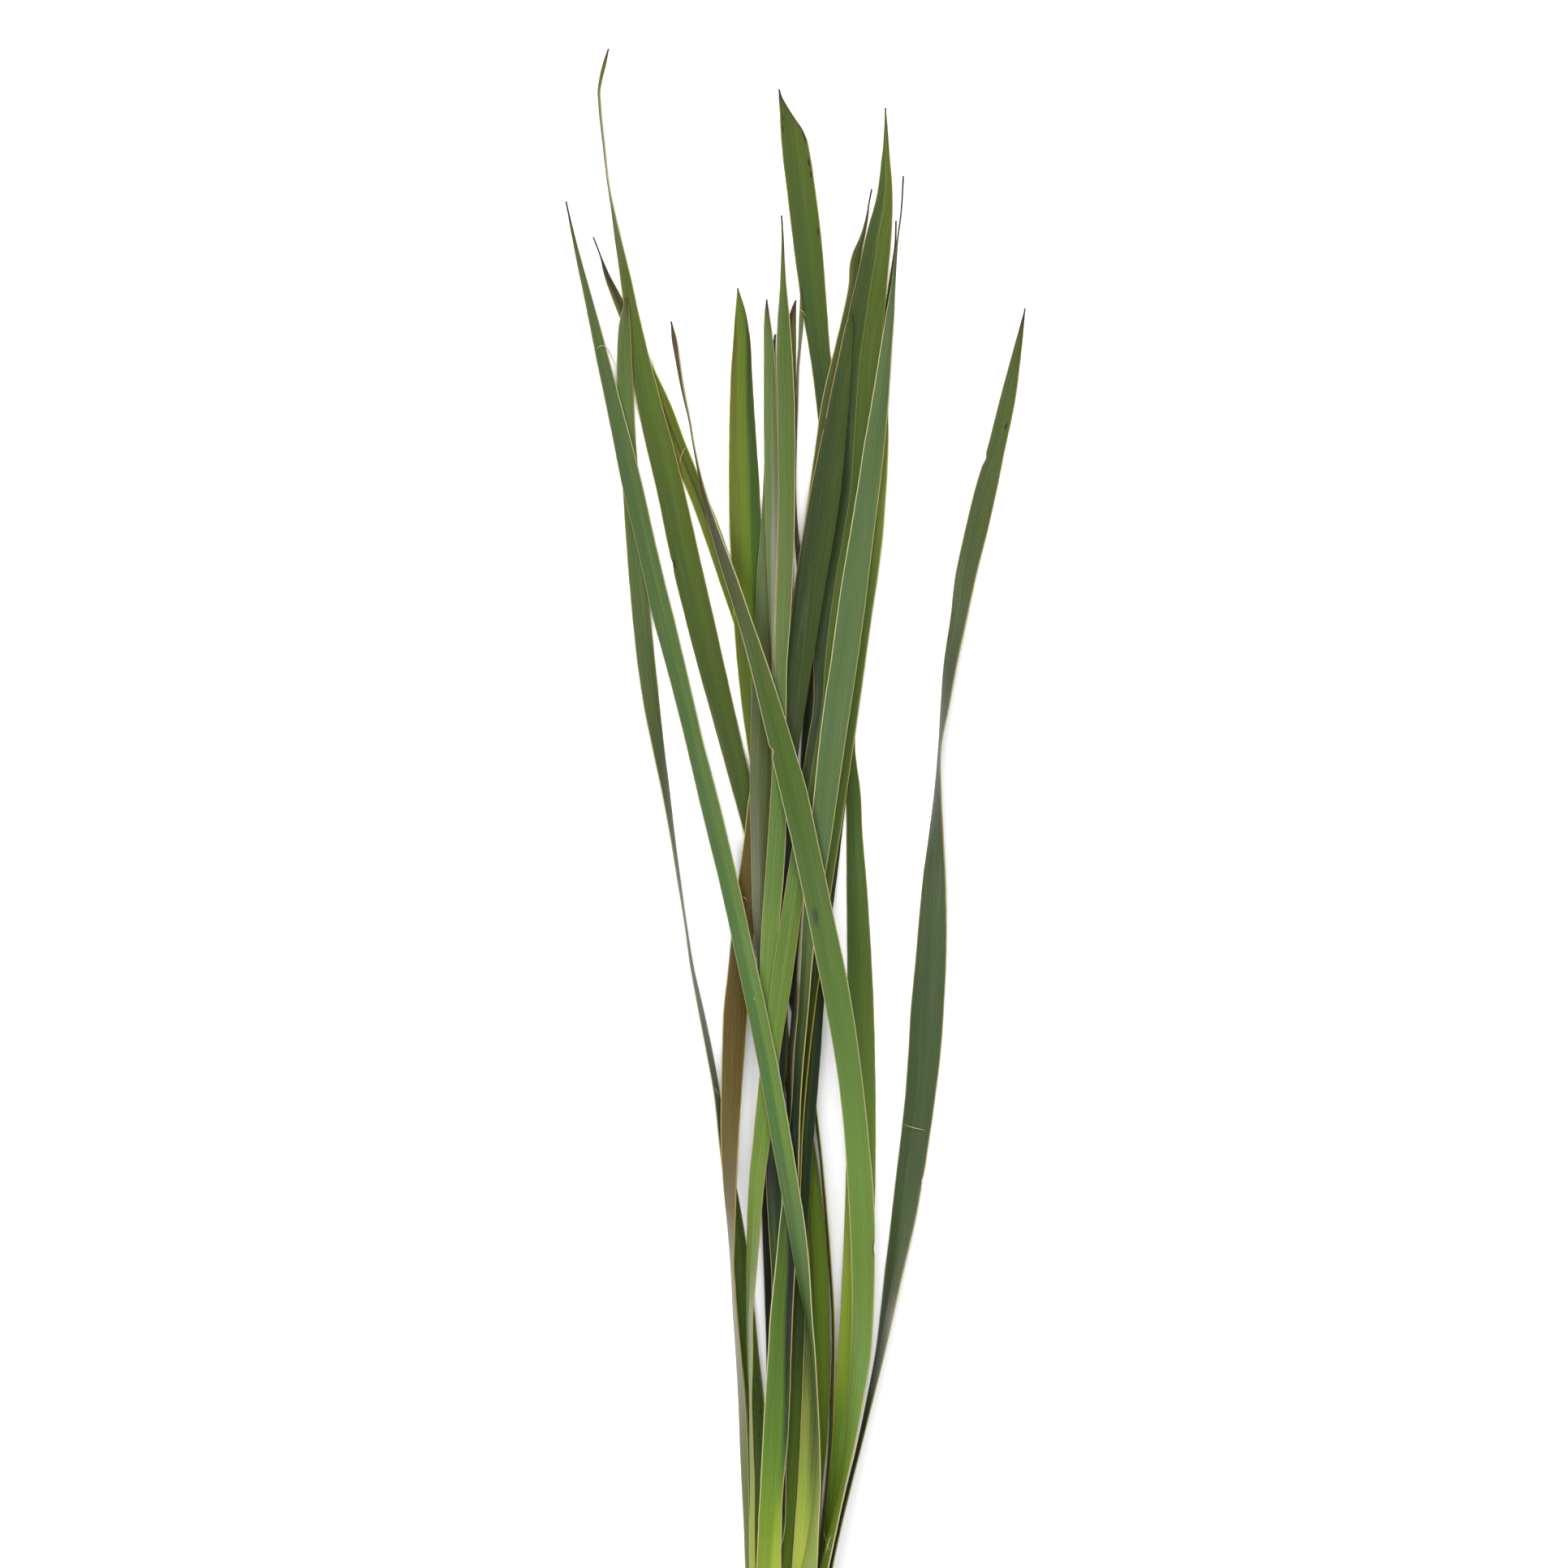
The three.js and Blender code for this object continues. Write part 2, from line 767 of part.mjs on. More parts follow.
// One column of the edges table at any height, as a smooth curve through its rows
function valueAt(edges, column, y) {
  const count = edges.length;
  let i = 0;
  while (i < count - 2 && edges[i + 1][0] < y) {
    i += 1;
  }
  const slopeAt = (k) => {
    const before = edges[Math.max(k - 1, 0)];
    const after = edges[Math.min(k + 1, count - 1)];
    return (after[column] - before[column]) / (after[0] - before[0]);
  };
  const span = edges[i + 1][0] - edges[i][0];
  const t = clamp((y - edges[i][0]) / span, 0, 1);
  const start = edges[i][column];
  const end = edges[i + 1][column];
  const leave = slopeAt(i) * span;
  const arrive = slopeAt(i + 1) * span;
  const t2 = t * t;
  const t3 = t2 * t;
  return (2 * t3 - 3 * t2 + 1) * start + (t3 - 2 * t2 + t) * leave
    + (3 * t2 - 2 * t3) * end + (t3 - t2) * arrive;
}

// The six corners of a section as x and z, from the left edge over the top and back underneath.
// z is counted from the middle of the underside.
function sectionCorners(leaf, y) {
  const left = valueAt(leaf.edges, 1, y);
  const right = Math.max(valueAt(leaf.edges, 2, y), left + LEAST_WIDTH);
  const rise = valueAt(leaf.edges, 3, y);
  const width = Math.hypot(right - left, rise);
  const nearBase = clamp(1 - y / GUTTER_REACH, 0, 1);
  const depth = leaf.gutter * nearBase;
  const middle = Math.min(lerp(BLADE_THICKNESS, BASE_THICKNESS, nearBase), width * THICKNESS_TO_WIDTH);
  const edge = Math.min(EDGE_THICKNESS, width * EDGE_TO_WIDTH);
  const up = { x: -rise / width, z: (right - left) / width };
  const corner = (x, z, lift) => [x + up.x * lift, z + up.z * lift];
  const centre = (left + right) / 2;
  return [
    corner(left, -rise / 2, edge),
    corner(centre, 0, middle - depth),
    corner(right, rise / 2, edge),
    corner(right, rise / 2, 0),
    corner(centre, 0, -depth),
    corner(left, -rise / 2, 0),
  ];
}

// The corners between two neighbouring sections, where the faces are straight
function cornersBetween(leaf, y) {
  const { heights, sections } = leaf;
  let i = 0;
  while (i < heights.length - 2 && heights[i + 1] < y) {
    i += 1;
  }
  const t = clamp((y - heights[i]) / (heights[i + 1] - heights[i]), 0, 1);
  return sections[i].map((corner, k) => [
    lerp(corner[0], sections[i + 1][k][0], t),
    lerp(corner[1], sections[i + 1][k][1], t),
  ]);
}

// The lowest and highest z of a section at one x
function spanAt(corners, x) {
  let low = Infinity;
  let high = -Infinity;
  for (let k = 0; k < corners.length; k += 1) {
    const [x1, z1] = corners[k];
    const [x2, z2] = corners[(k + 1) % corners.length];
    if (x < Math.min(x1, x2) || x > Math.max(x1, x2)) {
      continue;
    }
    const t = x1 === x2 ? 0 : (x - x1) / (x2 - x1);
    const crossings = x1 === x2 ? [z1, z2] : [lerp(z1, z2, t)];
    low = Math.min(low, ...crossings);
    high = Math.max(high, ...crossings);
  }
  return { low, high };
}

function sideLimits(corners) {
  const places = corners.map((corner) => corner[0]);
  return [Math.min(...places), Math.max(...places)];
}

// How far the upper section has to stand above the lower one so that they only just clear.
// Nothing is returned where they pass beside each other.
function liftToClear(upper, lower) {
  const [upperLeft, upperRight] = sideLimits(upper);
  const [lowerLeft, lowerRight] = sideLimits(lower);
  const from = Math.max(upperLeft, lowerLeft);
  const to = Math.min(upperRight, lowerRight);
  if (from > to + SIDE_CLEARANCE) {
    return null;
  }
  const places = [from, to];
  for (const [x] of upper.concat(lower)) {
    places.push(x);
  }
  let lift = -Infinity;
  for (const place of places) {
    const x = clamp(place, Math.min(from, to), Math.max(from, to));
    const under = spanAt(lower, clamp(x, lowerLeft, lowerRight));
    const over = spanAt(upper, clamp(x, upperLeft, upperRight));
    lift = Math.max(lift, under.high - over.low);
  }
  return lift + CLEARANCE;
}

function layerAt(leaf, y) {
  const woven = leaf.weave && y < leaf.weave.below;
  return woven ? leaf.weave.layer : leaf.layer;
}

// The height of a leaf's middle at y, from the nodes of its lie
function lieAt(leaf, y) {
  const place = y / NODE_STEP;
  const node = Math.min(Math.floor(place), leaf.lie.length - 2);
  return lerp(leaf.lie[node], leaf.lie[node + 1], place - node);
}

// Lists, for every leaf and every height, what it has to clear
function findSupports(leaves) {
  for (const leaf of leaves) {
    leaf.supports = [];
    const tip = leaf.heights[leaf.heights.length - 1];
    for (let y = 0; y <= tip; y += LAYING_STEP) {
      const corners = cornersBetween(leaf, y);
      const ground = -Math.min(...corners.map((corner) => corner[1]));
      const beneath = [];
      for (const other of leaves) {
        const otherTip = other.heights[other.heights.length - 1];
        if (other === leaf || y > otherTip || layerAt(other, y) > layerAt(leaf, y)) {
          continue;
        }
        const lift = liftToClear(corners, cornersBetween(other, y));
        if (lift !== null) {
          beneath.push({ other, lift });
        }
      }
      leaf.supports.push({ y, ground, beneath });
    }
  }
}

// The least height of each node that keeps the leaf clear on both sides of it
function nodeFloors(leaf) {
  const floors = leaf.lie.map(() => 0);
  for (const { y, ground, beneath } of leaf.supports) {
    let needed = ground;
    for (const { other, lift } of beneath) {
      needed = Math.max(needed, lieAt(other, y) + lift);
    }
    const node = Math.min(Math.floor(y / NODE_STEP), floors.length - 2);
    floors[node] = Math.max(floors[node], needed);
    floors[node + 1] = Math.max(floors[node + 1], needed);
  }
  return floors;
}

// A leaf sags between its supports as a slack strap does, and its free ends droop.
function relax(floors) {
  const sag = (NODE_STEP * NODE_STEP) / (2 * SAG_RADIUS);
  const lie = floors.slice();
  const last = lie.length - 1;
  for (let round = 0; round < RELAXATIONS; round += 1) {
    for (let k = 1; k < last; k += 1) {
      lie[k] = Math.max(floors[k], (lie[k - 1] + lie[k + 1]) / 2 - sag);
    }
    lie[0] = Math.max(floors[0], 2 * lie[1] - lie[2] - 2 * sag);
    lie[last] = Math.max(floors[last], 2 * lie[last - 1] - lie[last - 2] - 2 * sag);
  }
  return lie;
}

function layLeaves(leaves) {
  for (const leaf of leaves) {
    leaf.heights = sectionHeights(leaf.edges);
    leaf.sections = leaf.heights.map((y) => sectionCorners(leaf, y));
    const tip = leaf.heights[leaf.heights.length - 1];
    leaf.lie = new Array(Math.ceil(tip / NODE_STEP) + 1).fill(0);
  }
  findSupports(leaves);
  for (let sweep = 0; sweep < SWEEPS; sweep += 1) {
    for (const leaf of leaves) {
      leaf.lie = relax(nodeFloors(leaf));
    }
  }
}

// A closed skin over the sections of a leaf, capped at both ends
function leafGeometry(leaf) {
  const positions = [];
  const corners = 6;
  leaf.heights.forEach((y, i) => {
    const lie = lieAt(leaf, y);
    for (const [x, z] of leaf.sections[i]) {
      positions.push(x, y, z + lie);
    }
  });
  const index = [];
  const addQuad = (a, b, c, d) => index.push(a, b, c, a, c, d);
  const last = leaf.heights.length - 1;
  for (let i = 0; i < last; i += 1) {
    for (let k = 0; k < corners; k += 1) {
      const near = i * corners + k;
      const next = i * corners + ((k + 1) % corners);
      addQuad(near, next, next + corners, near + corners);
    }
  }
  addQuad(5, 4, 1, 0);
  addQuad(4, 3, 2, 1);
  const end = last * corners;
  addQuad(end, end + 1, end + 4, end + 5);
  addQuad(end + 1, end + 2, end + 3, end + 4);
  const geometry = new THREE.BufferGeometry();
  geometry.setAttribute('position', new THREE.Float32BufferAttribute(positions, 3));
  geometry.setIndex(index);
  geometry.computeVertexNormals();
  return geometry;
}

function makeLeaf(leaf) {
  const material = new THREE.MeshStandardMaterial({
    color: leaf.colour,
    roughness: 0.55,
    metalness: 0,
  });
  const mesh = new THREE.Mesh(leafGeometry(leaf), material);
  mesh.name = leaf.name;
  return mesh;
}

function makeBunch() {
  layLeaves(LEAVES);
  const bunch = new THREE.Group();
  for (const leaf of LEAVES) {
    bunch.add(makeLeaf(leaf));
  }
  // The origin is the middle of the bunch, on the surface that it lies on.
  const middle = new THREE.Box3().setFromObject(bunch).getCenter(new THREE.Vector3());
  bunch.position.set(-middle.x, -middle.y, 0);
  return bunch;
}

export default makeBunch();
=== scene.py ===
import math

import bpy
import numpy as np
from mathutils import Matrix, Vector


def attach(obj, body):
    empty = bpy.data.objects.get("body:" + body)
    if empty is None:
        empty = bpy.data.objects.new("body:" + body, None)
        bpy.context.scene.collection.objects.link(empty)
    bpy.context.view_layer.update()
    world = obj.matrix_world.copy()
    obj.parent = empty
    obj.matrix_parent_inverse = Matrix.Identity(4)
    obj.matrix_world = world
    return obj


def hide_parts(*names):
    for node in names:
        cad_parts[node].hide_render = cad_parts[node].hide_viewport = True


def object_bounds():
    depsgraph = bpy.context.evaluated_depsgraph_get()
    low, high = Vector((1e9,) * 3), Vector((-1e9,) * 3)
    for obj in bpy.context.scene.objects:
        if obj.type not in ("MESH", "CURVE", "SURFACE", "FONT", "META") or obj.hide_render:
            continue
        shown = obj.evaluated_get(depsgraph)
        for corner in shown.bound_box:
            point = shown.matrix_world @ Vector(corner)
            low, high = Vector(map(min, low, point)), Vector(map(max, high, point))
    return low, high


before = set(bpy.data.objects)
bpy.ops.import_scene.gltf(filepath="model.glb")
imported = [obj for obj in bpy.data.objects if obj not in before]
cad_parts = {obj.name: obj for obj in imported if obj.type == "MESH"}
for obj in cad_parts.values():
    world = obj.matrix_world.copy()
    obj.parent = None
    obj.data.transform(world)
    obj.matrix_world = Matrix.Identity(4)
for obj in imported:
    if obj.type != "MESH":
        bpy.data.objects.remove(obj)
cad_box = [list(corner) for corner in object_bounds()]

# The bunch lies along +Y from its cut ends. Sizes are metres unless a name says otherwise.
MM = 0.001
CUT_END_Y = cad_box[0][1]

# The photograph's frame on the table: its middle and how much of the table it takes in
VIEW_MIDDLE_X = -0.00635
VIEW_MIDDLE_Y = 0.0385
VIEW_WIDTH = 0.8694
CAMERA_HEIGHT = 6.0
SENSOR_MM = 36.0

# Soft lights beyond both ends of the bunch reach down between the leaves, and one on the left
# brings out their curves: name, place, width and watts
STUDIO_LIGHTS = [
    ("head_light", (0.3, 3.0, 2.6), 2.4, 135.0),
    ("foot_light", (-0.2, -3.0, 2.6), 2.4, 86.0),
    ("left_light", (-2.4, 0.5, 2.4), 2.0, 70.0),
]
ROOM_LIGHT = 0.72

# The floor: half its width, and its height
FLOOR_HALF = 4.0
FLOOR_DEPTH = -0.0001

# How finely a blade is drawn: between its stations, and across its top and underside
STATION_STEP = 0.0025
TOP_POINTS = 26
UNDER_POINTS = 8
TOP_BOW = 2.0
UNDER_BOW = 1.4
SECTION_GAP = 0.0003
SAME_CORNER = 0.00003
HAIR_WIDTH = 0.0010

# Relief of the blades
RIB_SPACING = 0.0024
RIB_HEIGHT = 0.00007
FULL_RIB_WIDTH = 0.009
EDGE_WANDER = 0.00016
STEADY_WIDTH = 0.004
VEIN_DEPTH = 0.00035

# Heights in a leaf's look are millimetres above the cut ends, up to this one.
TONE_SPAN_MM = 900.0

# What the studio light adds to a leaf's own colour, and how brightly it lights it
WAX_VEIL = 0.0245
DARKEST = 0.004
LIGHT_LEVEL = 2.0

# The leaves are duller and warmer than the tones below: red is raised toward green, and in green
# tones blue is drawn toward a share of green
RED_LIFT = 0.5
BLUE_SHARE = 0.56
BLUE_PULL = 0.9
FULL_GREENNESS = 0.5

# How far the ribs sway, the lengths over which ribs and edges wander, and the most of a blade's
# width that an edge loses to wander and nicks
RIB_SWAY = 0.4
WANDER_LENGTHS = (0.061, 0.027, 0.0117)
MOST_TRIM = 0.3

# The dark veins: their spacing, how far they sway, where a line starts, and how dark it gets
VEIN_SPACING_MM = 1.35
VEIN_SWAY = 0.6
VEIN_START = 0.35
BETWEEN_VEINS = 1.03
VEIN_DARKNESS = 0.23

# The margins: the most of a blade's width that one takes, the widths in mm over which they come
# in as a blade widens, how uneven they are, and how much of one has its full colour
MOST_MARGIN = 0.1
BARE_WIDTH_MM = 1.2
EDGED_WIDTH_MM = 3.5
MARGIN_UNEVENNESS = (0.9, 1.9)
MARGIN_CORE = 0.4

# The marks: how ragged their outline is, where it starts and where it is full, and the least
# share of the width by which a place is divided to give the width
MARK_RAGGEDNESS = 0.5
MARK_OUTSIDE = 1.15
MARK_INSIDE = 0.45
LEAST_SHARE = 0.02

# How far the tones drift along a blade, either way
TONE_DRIFT_MM = 5.0

# How softly a blade's two halves meet, as a share of its width, unless its look says otherwise
SOFT_SPLIT = 0.12

# Noise over a blade: the width and length of its streaks in mm, what it adds to the leaf's seed,
# and its detail
NOISES = {
    "broad": (5.0, 140.0, 0.0, 3.0),
    "bands": (1.7, 110.0, 11.3, 2.0),
    "veins": (0.55, 85.0, 23.1, 2.0),
    "hairs": (0.22, 30.0, 31.7, 1.0),
    "grit": (0.9, 1.6, 43.9, 3.0),
    "drift": (2.2, 22.0, 5.7, 2.0),
    "sway": (9.0, 260.0, 3.3, 1.0),
    "bloom_and_sheen": (2.6, 70.0, 57.1, 3.0),
    "yellowing": (1.4, 90.0, 63.4, 2.0),
    "specks": (0.5, 0.9, 71.9, 1.0),
    "breaks": (60.0, 38.0, 83.0, 2.0),
}

# How much each of these lightens and darkens a blade
SHADES = {"broad": 0.12, "bands": 0.07, "veins": 0.14, "hairs": 0.07}

# Patches of another colour: the colour, where in its noise one starts and is full, and strength
PATCHES = {
    # Greyish patches, partly wax bloom and partly painted sheen.
    "bloom_and_sheen": ("a2ab98", 0.5, 0.8, 0.1),
    "yellowing": ("a0a040", 0.62, 0.85, 0.16),
    "specks": ("4a3a1e", 0.76, 0.82, 0.4),
}

# The underside's tint and how much of it shows, and how strongly a leaf reflects light
UNDERSIDE = "84926c"
UNDERSIDE_SHARE = 0.35
LEAF_SPECULAR = 0.22

# How much of a keel line has its full colour
KEEL_CORE = 0.4

# What veins, hairs and vein lines add to the relief, how strong it is, and the roughness that
# bands and grit give
VEIN_RELIEF = 0.5
HAIR_RELIEF = 0.2
LINE_RELIEF = 0.8
RELIEF_STRENGTH = 0.5
BAND_ROUGHNESS = (0.4, 0.52)
GRIT_ROUGHNESS = (-0.04, 0.08)

# Each leaf's look. tones: height, colour of the left half, and of the right half where it differs.
# Some tones are painted shade or painted sheen, as noted at each leaf.
# left, right: colour and width in mm of the margin; a pale margin is partly the leaf's own edge and
# partly painted glow of light through it. keel: colour, width in mm and strength of the line along
# the middle. nicks: height, side, depth and half length in mm. marks: height, share of the way
# across, half length and half width in mm, colour and strength. bloom_and_sheen: strength of the
# greyish patches, partly wax bloom and partly painted sheen. split: height and the share of the way
# across where the halves meet. soft: how slowly they do. veining: strength of the dark veins.
# straight_above: no curved edges from that height up.
LOOKS = {
    "back_sliver_leaf": {
        "tones": [(0, "7a8a3c"), (450, "50562c"), (700, "567038"), (737, "5a7038"), (745, "5a3c1c")],
        "left": ("a8a468", 0.3),
        "right": ("b0803c", 0.4),
    },
    "brown_tipped_leaf": {
        "tones": [
            (0, "8aa03c"), (300, "5f7a24"), (520, "5f8020", "587820"), (600, "5c7a1e"),
            (650, "66781e", "56701e"), (715, "647420"), (740, "5c6422"), (762, "4c401c"),
            (778, "3a2a14"), (788, "33240f"),
        ],
        "left": ("a8b830", 0.5),
        "right": ("a8b830", 0.6),
        "keel": ("3f3c16", 2.2, 0.6),
    },
    "tall_hooked_leaf": {
        "tones": [
            (0, "7a9640"), (130, "5f7a36"), (300, "466630"), (430, "3b5e30", "466836"),
            (540, "3c602a", "46682e"), (620, "40662a", "4a6e2e"), (700, "446c2a", "4c742e"),
            (770, "4e6e34"), (810, "64705a"), (850, "767c70"), (866, "6f7644"), (884, "6c6a2c"),
            (890, "5a3018"),
        ],
        "left": ("c0a868", 0.35),
        "right": ("d8c880", 0.4),
        "nicks": [(606.6, "left", 0.8, 3.0)],
        "marks": [(606.6, 0.06, 3.0, 1.0, "33280f", 0.75)],
    },
    "cut_tip_leaf": {
        "tones": [
            (0, "4a7a20"), (82, "4f7a1c", "5a8a24"), (109, "4f8a14"), (136, "4c8a10", "5a9418"),
            (163, "6aa024", "7aa828"), (217, "86b43c", "8ab848"), (244, "7aa83a"),
            (271, "5f9a38"), (325, "4a8236", "548a38"), (379, "467a36", "4f8038"),
            (433, "3f6e38", "47763a"), (487, "3a6434", "3f6a35"), (600, "2e4f3c"),
            (660, "30523a", "345636"), (700, "325434", "385c34"), (740, "38602f", "40682f"),
            (800, "3f662e", "476e2e"), (840, "44682c", "4c702f"), (860, "4a602a"), (870, "4a3c20"),
        ],
        "left": ("a8a050", 0.45),
        "right": ("b8aa58", 0.45),
        "straight_above": 800,
        "marks": [
            (854, 0.2, 2.0, 0.5, "332a18", 0.85), (848, 0.12, 2.6, 0.5, "332a18", 0.85),
            (843, 0.93, 3.6, 0.6, "38301a", 0.85), (829, 0.9, 2.6, 0.6, "332a18", 0.85),
            (822.6, 0.9, 2.0, 0.6, "332a18", 0.9), (791, 0.9, 2.4, 0.5, "332a18", 0.8),
            (866, 0.97, 5.0, 0.7, "4a3a20", 0.9), (858, 0.98, 6.0, 0.6, "4a3a20", 0.9),
            (850, 0.98, 6.0, 0.6, "4a3a20", 0.9),
        ],
    },
    "yellow_broad_leaf": {
        # The darker, greyer left half from 217 to 244 mm is painted shade under the leaves beside it.
        "tones": [
            (0, "9ab850"), (109, "4a7a14"), (163, "4f8018"), (190, "4a7c20", "4f8518"),
            (217, "466a2c", "4f8a18"), (244, "3f6a22", "4a7a2a"), (271, "3c6420"),
            (450, "467a0a", "356e0a"), (541, "54780a", "356e0a"), (622, "627c0c", "326a08"),
            (676, "667a10", "305e0a"), (703, "6a7214", "305a0c"), (728, "646214", "34500e"),
            (745, "52441a", "38380f"), (760, "34200e"),
        ],
        "soft": 0.3,
        "left": ("c0c050", 0.35),
        "right": ("8a7a2a", 0.4),
        "keel": ("5c9000", 8.0, 0.65),
    },
    "grey_twisted_leaf": {
        "tones": [
            (0, "7a8a44"), (200, "3c3c34"), (300, "3a3a34"), (400, "44443c"), (520, "34402c"),
            (600, "525e48"), (650, "6c7472"), (690, "7a8078"), (740, "66784c"), (760, "5a5a34"),
        ],
        "left": ("8a8a78", 0.3),
        "right": ("8a7048", 0.3),
    },
    "left_twisted_leaf": {
        # The grey tones from 300 to 455 mm, where the leaf twists, are painted sheen.
        "tones": [
            (0, "7a9640"), (100, "4f7a34"), (150, "3c682c"), (230, "44702e"), (270, "45683a"),
            (300, "58705a"), (360, "7c877c"), (420, "828c82"), (455, "66765e"), (500, "526a48"),
            (560, "486a40"), (620, "48703e", "52784a"), (700, "4a7640", "547e48"),
            (740, "4f7440"), (751, "5a5030"), (754, "5a4426"),
        ],
        "left": ("c8bc84", 0.3),
        "right": ("b09a58", 0.45),
        "marks": [
            (154, 0.7, 1.0, 0.4, "24240f", 0.85), (146, 0.55, 0.8, 0.3, "24240f", 0.85),
            (137, 0.75, 1.2, 0.4, "24240f", 0.85), (124, 0.6, 0.9, 0.3, "24240f", 0.85),
        ],
    },
    "brown_leaf": {
        # The silvery grey tones from 136 to 225 mm, where the leaf turns edge-on, are painted sheen.
        "tones": [
            (0, "66863a"), (82, "5a7a3a"), (109, "6a7f56"), (136, "828a76"), (163, "959886"),
            (200, "a6a498"), (225, "979280"), (250, "7c7254"), (285, "6f6038"),
            (330, "6a582c"), (440, "685828"), (500, "5a582a"), (560, "505c2e"), (640, "4c622e"),
            (760, "4a5c2e"), (795, "4c5228"), (806, "46391e"), (815, "3a2414"),
        ],
        "left": ("c8b878", 0.5),
        "right": ("b8a050", 0.45),
    },
    "dark_inner_leaf": {
        # Its darker right half is painted shade.
        "tones": [
            (0, "66983a", "5a9030"), (60, "5a9030", "4f8a2c"), (100, "4c8230", "45782a"),
            (136, "44752e", "3f7028"), (170, "3c6030", "38582a"), (200, "34502a", "2f4a28"),
            (260, "2c4a1e", "24401a"), (350, "33501e", "2a4218"), (450, "2c4a18"),
            (600, "2f4c1c"), (740, "3f5a2c"), (785, "4a4424"), (797, "3a2414"),
        ],
        "left": ("6a7440", 0.25),
        "right": ("76743c", 0.25),
    },
    "tall_folded_leaf": {
        # The pale grey right half from 150 to 190 mm is painted sheen, and the dark tones from 460 to
        # 650 mm, darker on the left half, are painted shade in the fold.
        "tones": [
            (0, "96bc3e", "86b634"), (50, "8fbc3c", "8aba38"), (82, "8aac48"),
            (110, "6f9444", "789a4c"), (150, "5f8a48", "86a07a"), (190, "5c8844", "9aa890"),
            (217, "5a8842", "6f9560"), (250, "5a9038", "5c9640"), (320, "559038", "5c9640"),
            (400, "4f8838", "558c3e"), (433, "4f8a42"), (460, "304e14", "3c6418"),
            (520, "2c480c", "44700f"), (600, "2e4c10", "446c14"), (650, "2c4c1a", "3c641e"),
            (700, "365422", "446a26"), (760, "3a5826", "486e2a"), (800, "405e2c", "4c722c"),
            (835, "46662c", "52782c"), (848, "505e28"), (860, "3a2a14"),
        ],
        "left": ("a8a468", 0.35),
        "right": ("b8a860", 0.4),
        "keel": ("98a860", 0.5, 0.5),
    },
    "yellow_strip_leaf": {
        # The dark tones from 300 to 352 mm, darker on the left half, are painted shadow of the leaf
        # beside it.
        "tones": [
            (0, "86a83c"), (200, "4f7a2c"), (300, "3a5a20"), (352, "3f5a22", "4a6a2a"),
            (406, "46702e"), (433, "4f8038"), (520, "4a7a3a"), (600, "55803a"), (640, "64883a"),
            (680, "6a8030"), (697, "4a3c1c"),
        ],
        "left": ("a8a868", 0.3),
        "right": ("d0c06c", 0.5),
    },
    "olive_leaf": {
        # The near-black tones from 130 to 260 mm are painted shade, and the pale grey left half from
        # 380 to 470 mm is painted sheen.
        "tones": [
            (0, "7a9040"), (130, "26331e"), (217, "2a3326"), (260, "2c3a26"), (330, "4a5540"),
            (380, "646e58", "5a6044"), (433, "74806a", "5f6648"), (470, "64745a", "56643e"),
            (514, "586a44", "4f6438"), (568, "567048", "526a3e"), (622, "56794a"),
            (700, "527040"), (734, "4a3c20"),
        ],
        "left": ("a8a078", 0.3),
        "right": ("8f8450", 0.3),
    },
    "narrow_middle_leaf": {
        # The pale grey right half from 541 to 650 mm is painted sheen.
        "tones": [
            (0, "86a046"), (300, "4a7440"), (500, "56804a"), (541, "5f7f54", "808c7c"),
            (568, "60825a", "8a9488"), (622, "5c8450", "8a968a"), (650, "5a844e", "76907a"),
            (676, "588450", "5f8c58"), (730, "547e48"), (746, "566a3a"), (753, "3a2c16"),
        ],
        "left": ("a8a860", 0.3),
        "right": ("d0c88c", 0.45),
    },
    "dark_broad_leaf": {
        # The very dark tones from 200 to 475 mm are painted shade where the leaf lies under others.
        "tones": [
            (0, "b0cc5c"), (60, "a8c854"), (82, "98be4a", "8cb04a"), (109, "8aac4a", "66823c"),
            (136, "7f9c46", "54703a"), (163, "4f6f38", "46642f"), (200, "2f4a24"),
            (325, "26381c"), (400, "1f2a14"), (440, "222e16"), (475, "33481e"),
            (541, "325028", "3a5628"), (622, "304e24", "3a582a"),
            (703, "345226", "3e5c2c"), (738, "3e5c2c"), (745, "4a4424"),
        ],
        "soft": 0.2,
        "left": ("c0ac6c", 0.4),
        "right": ("66663a", 0.3),
        "nicks": [(684, "left", 0.9, 4.0)],
        "marks": [(684, 0.04, 4.0, 0.8, "54401f", 0.75)],
    },
    "pointed_middle_leaf": {
        # The near-black tones from 80 to 125 mm and at 271 mm are painted shade deep among the other
        # leaves.
        "tones": [
            (0, "86a83c"), (55, "6a9034"), (80, "24401a"), (125, "24401a"),
            (150, "345424"), (217, "2f5a20"), (244, "2a4a1c"),
            (271, "1f2e1a", "24381c"), (320, "48783a"), (360, "5a9440"), (406, "5a9443"),
            (433, "4f8a45"), (487, "4c8440"), (541, "537f48"), (568, "5c8250"), (622, "587f46"),
            (676, "507c3e"), (730, "4a7538"), (774, "4c7034"), (788, "4a4a24"), (800, "3a2a14"),
        ],
        "left": ("b8b078", 0.35),
        "right": ("d8cf98", 0.45),
    },
    "pale_edged_leaf": {
        # Painted shadow: the dark right half from 105 to 271 mm is the shadow of the leaves above it,
        # and the dark tones from 244 to 379 mm are painted shade.
        "tones": [
            (0, "78ac38", "a0c44a"), (55, "6fa634", "96c040"), (82, "5f9f2e", "7aae34"),
            (105, "509430", "4a8024"), (125, "48882e", "2a5418"), (160, "42802e", "163a0c"),
            (217, "3a7428", "12300a"), (244, "2a5c1c", "14300c"), (271, "1c4212", "163410"),
            (300, "203c14"), (352, "2c4c1c", "34561f"), (379, "33561f", "3a6128"),
